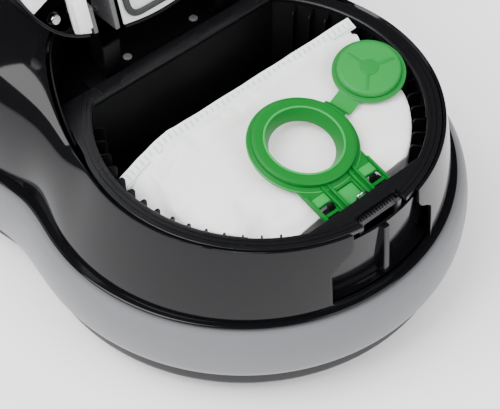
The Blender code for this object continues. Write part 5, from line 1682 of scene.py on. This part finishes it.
# ---- Stage ---------------------------------------------------------------------------------------------------
def softbox(name, place, target, size, power, colour=(1.0, 1.0, 1.0)):
    light = bpy.data.lights.new(name, "AREA")
    light.shape = "RECTANGLE"
    light.size, light.size_y = size
    light.energy = power
    light.color = colour
    thing = bpy.data.objects.new(name, light)
    bpy.context.scene.collection.objects.link(thing)
    thing.location = place
    thing.rotation_euler = (Vector(target) - Vector(place)).to_track_quat("-Z", "Y").to_euler()
    return thing


class VACUUM_OT_stage(bpy.types.Operator):
    """Sets out the pale floor, the soft lights and the camera"""
    bl_idname = "vacuum.stage"
    bl_label = "Stage"

    def execute(self, context):
        floor = box("floor", (-4.0, -4.0, -0.010), (4.0, 4.0, 0.0), 0.0)
        floor = baked(floor)
        paper = bpy.data.materials.new("paper")
        paper.use_nodes = True
        shader = paper.node_tree.nodes["Principled BSDF"]
        shader.inputs["Base Color"].default_value = (0.88, 0.88, 0.89, 1.0)
        shader.inputs["Roughness"].default_value = 0.85
        floor.data.materials.append(paper)
        world = bpy.data.worlds.new("studio")
        world.use_nodes = True
        sky = world.node_tree.nodes["Background"]
        sky.inputs["Color"].default_value = (1.0, 1.0, 1.0, 1.0)
        rays = world.node_tree.nodes.new("ShaderNodeLightPath")
        world.node_tree.links.new(range_node(world.node_tree, rays.outputs["Is Glossy Ray"], 0.0, 1.0, 1.75,
                                             0.10),
                                  sky.inputs["Strength"])
        context.scene.world = world
        middle = (0.05, 0.0, 0.12)
        softbox("key_light", (-0.20, -1.30, 1.90), middle, (1.5, 1.5), 76.0)
        softbox("front_light", (1.60, 0.40, 1.30), middle, (1.2, 0.9), 18.0)
        softbox("back_light", (-1.60, -0.70, 1.20), middle, (1.0, 1.2), 9.0)
        camera = bpy.data.cameras.new("camera")
        camera.lens = 118.6
        camera.sensor_width = 36.0
        camera.clip_start = 0.05
        viewer = bpy.data.objects.new("camera", camera)
        context.scene.collection.objects.link(viewer)
        viewer.location = (0.6850, -0.5168, 0.9348)
        aim = Vector((0.1660, -0.0608, 0.140)) - viewer.location
        viewer.rotation_euler = aim.to_track_quat("-Z", "Y").to_euler()
        context.scene.camera = viewer
        return {"FINISHED"}


# ---- Panel and registration ------------------------------------------------------------------------------------
STEPS = (VACUUM_OT_finishes, VACUUM_OT_frame_finishes, VACUUM_OT_shell, VACUUM_OT_bumper, VACUUM_OT_rim,
         VACUUM_OT_compartment, VACUUM_OT_recess, VACUUM_OT_hinge_well, VACUUM_OT_collar, VACUUM_OT_cap,
         VACUUM_OT_cradle, VACUUM_OT_dust_bag, VACUUM_OT_lid_shell, VACUUM_OT_lid_panel,
         VACUUM_OT_lid_fittings,
         VACUUM_OT_grille, VACUUM_OT_handle, VACUUM_OT_castors, VACUUM_OT_stage)


class VACUUM_PT_panel(bpy.types.Panel):
    """Lists the settings and the steps that build the machine"""
    bl_label = "Cylinder Vacuum"
    bl_idname = "VACUUM_PT_panel"
    bl_space_type = "VIEW_3D"
    bl_region_type = "UI"
    bl_category = "Vacuum"

    def draw(self, context):
        for settings in (context.scene.vacuum_detail, context.scene.vacuum_colours):
            for name in settings.__annotations__:
                self.layout.prop(settings, name)
        for step in STEPS:
            self.layout.operator(step.bl_idname)


CLASSES = (VacuumDetail, VacuumColours, *STEPS, VACUUM_PT_panel)


def register():
    for cls in CLASSES:
        bpy.utils.register_class(cls)
    bpy.types.Scene.vacuum_detail = PointerProperty(type=VacuumDetail)
    bpy.types.Scene.vacuum_colours = PointerProperty(type=VacuumColours)


def unregister():
    del bpy.types.Scene.vacuum_colours
    del bpy.types.Scene.vacuum_detail
    for cls in reversed(CLASSES):
        bpy.utils.unregister_class(cls)


def main():
    register()
    for step in STEPS:
        group, name = step.bl_idname.split(".")
        getattr(getattr(bpy.ops, group), name)()


if __name__ == "__main__":
    main()
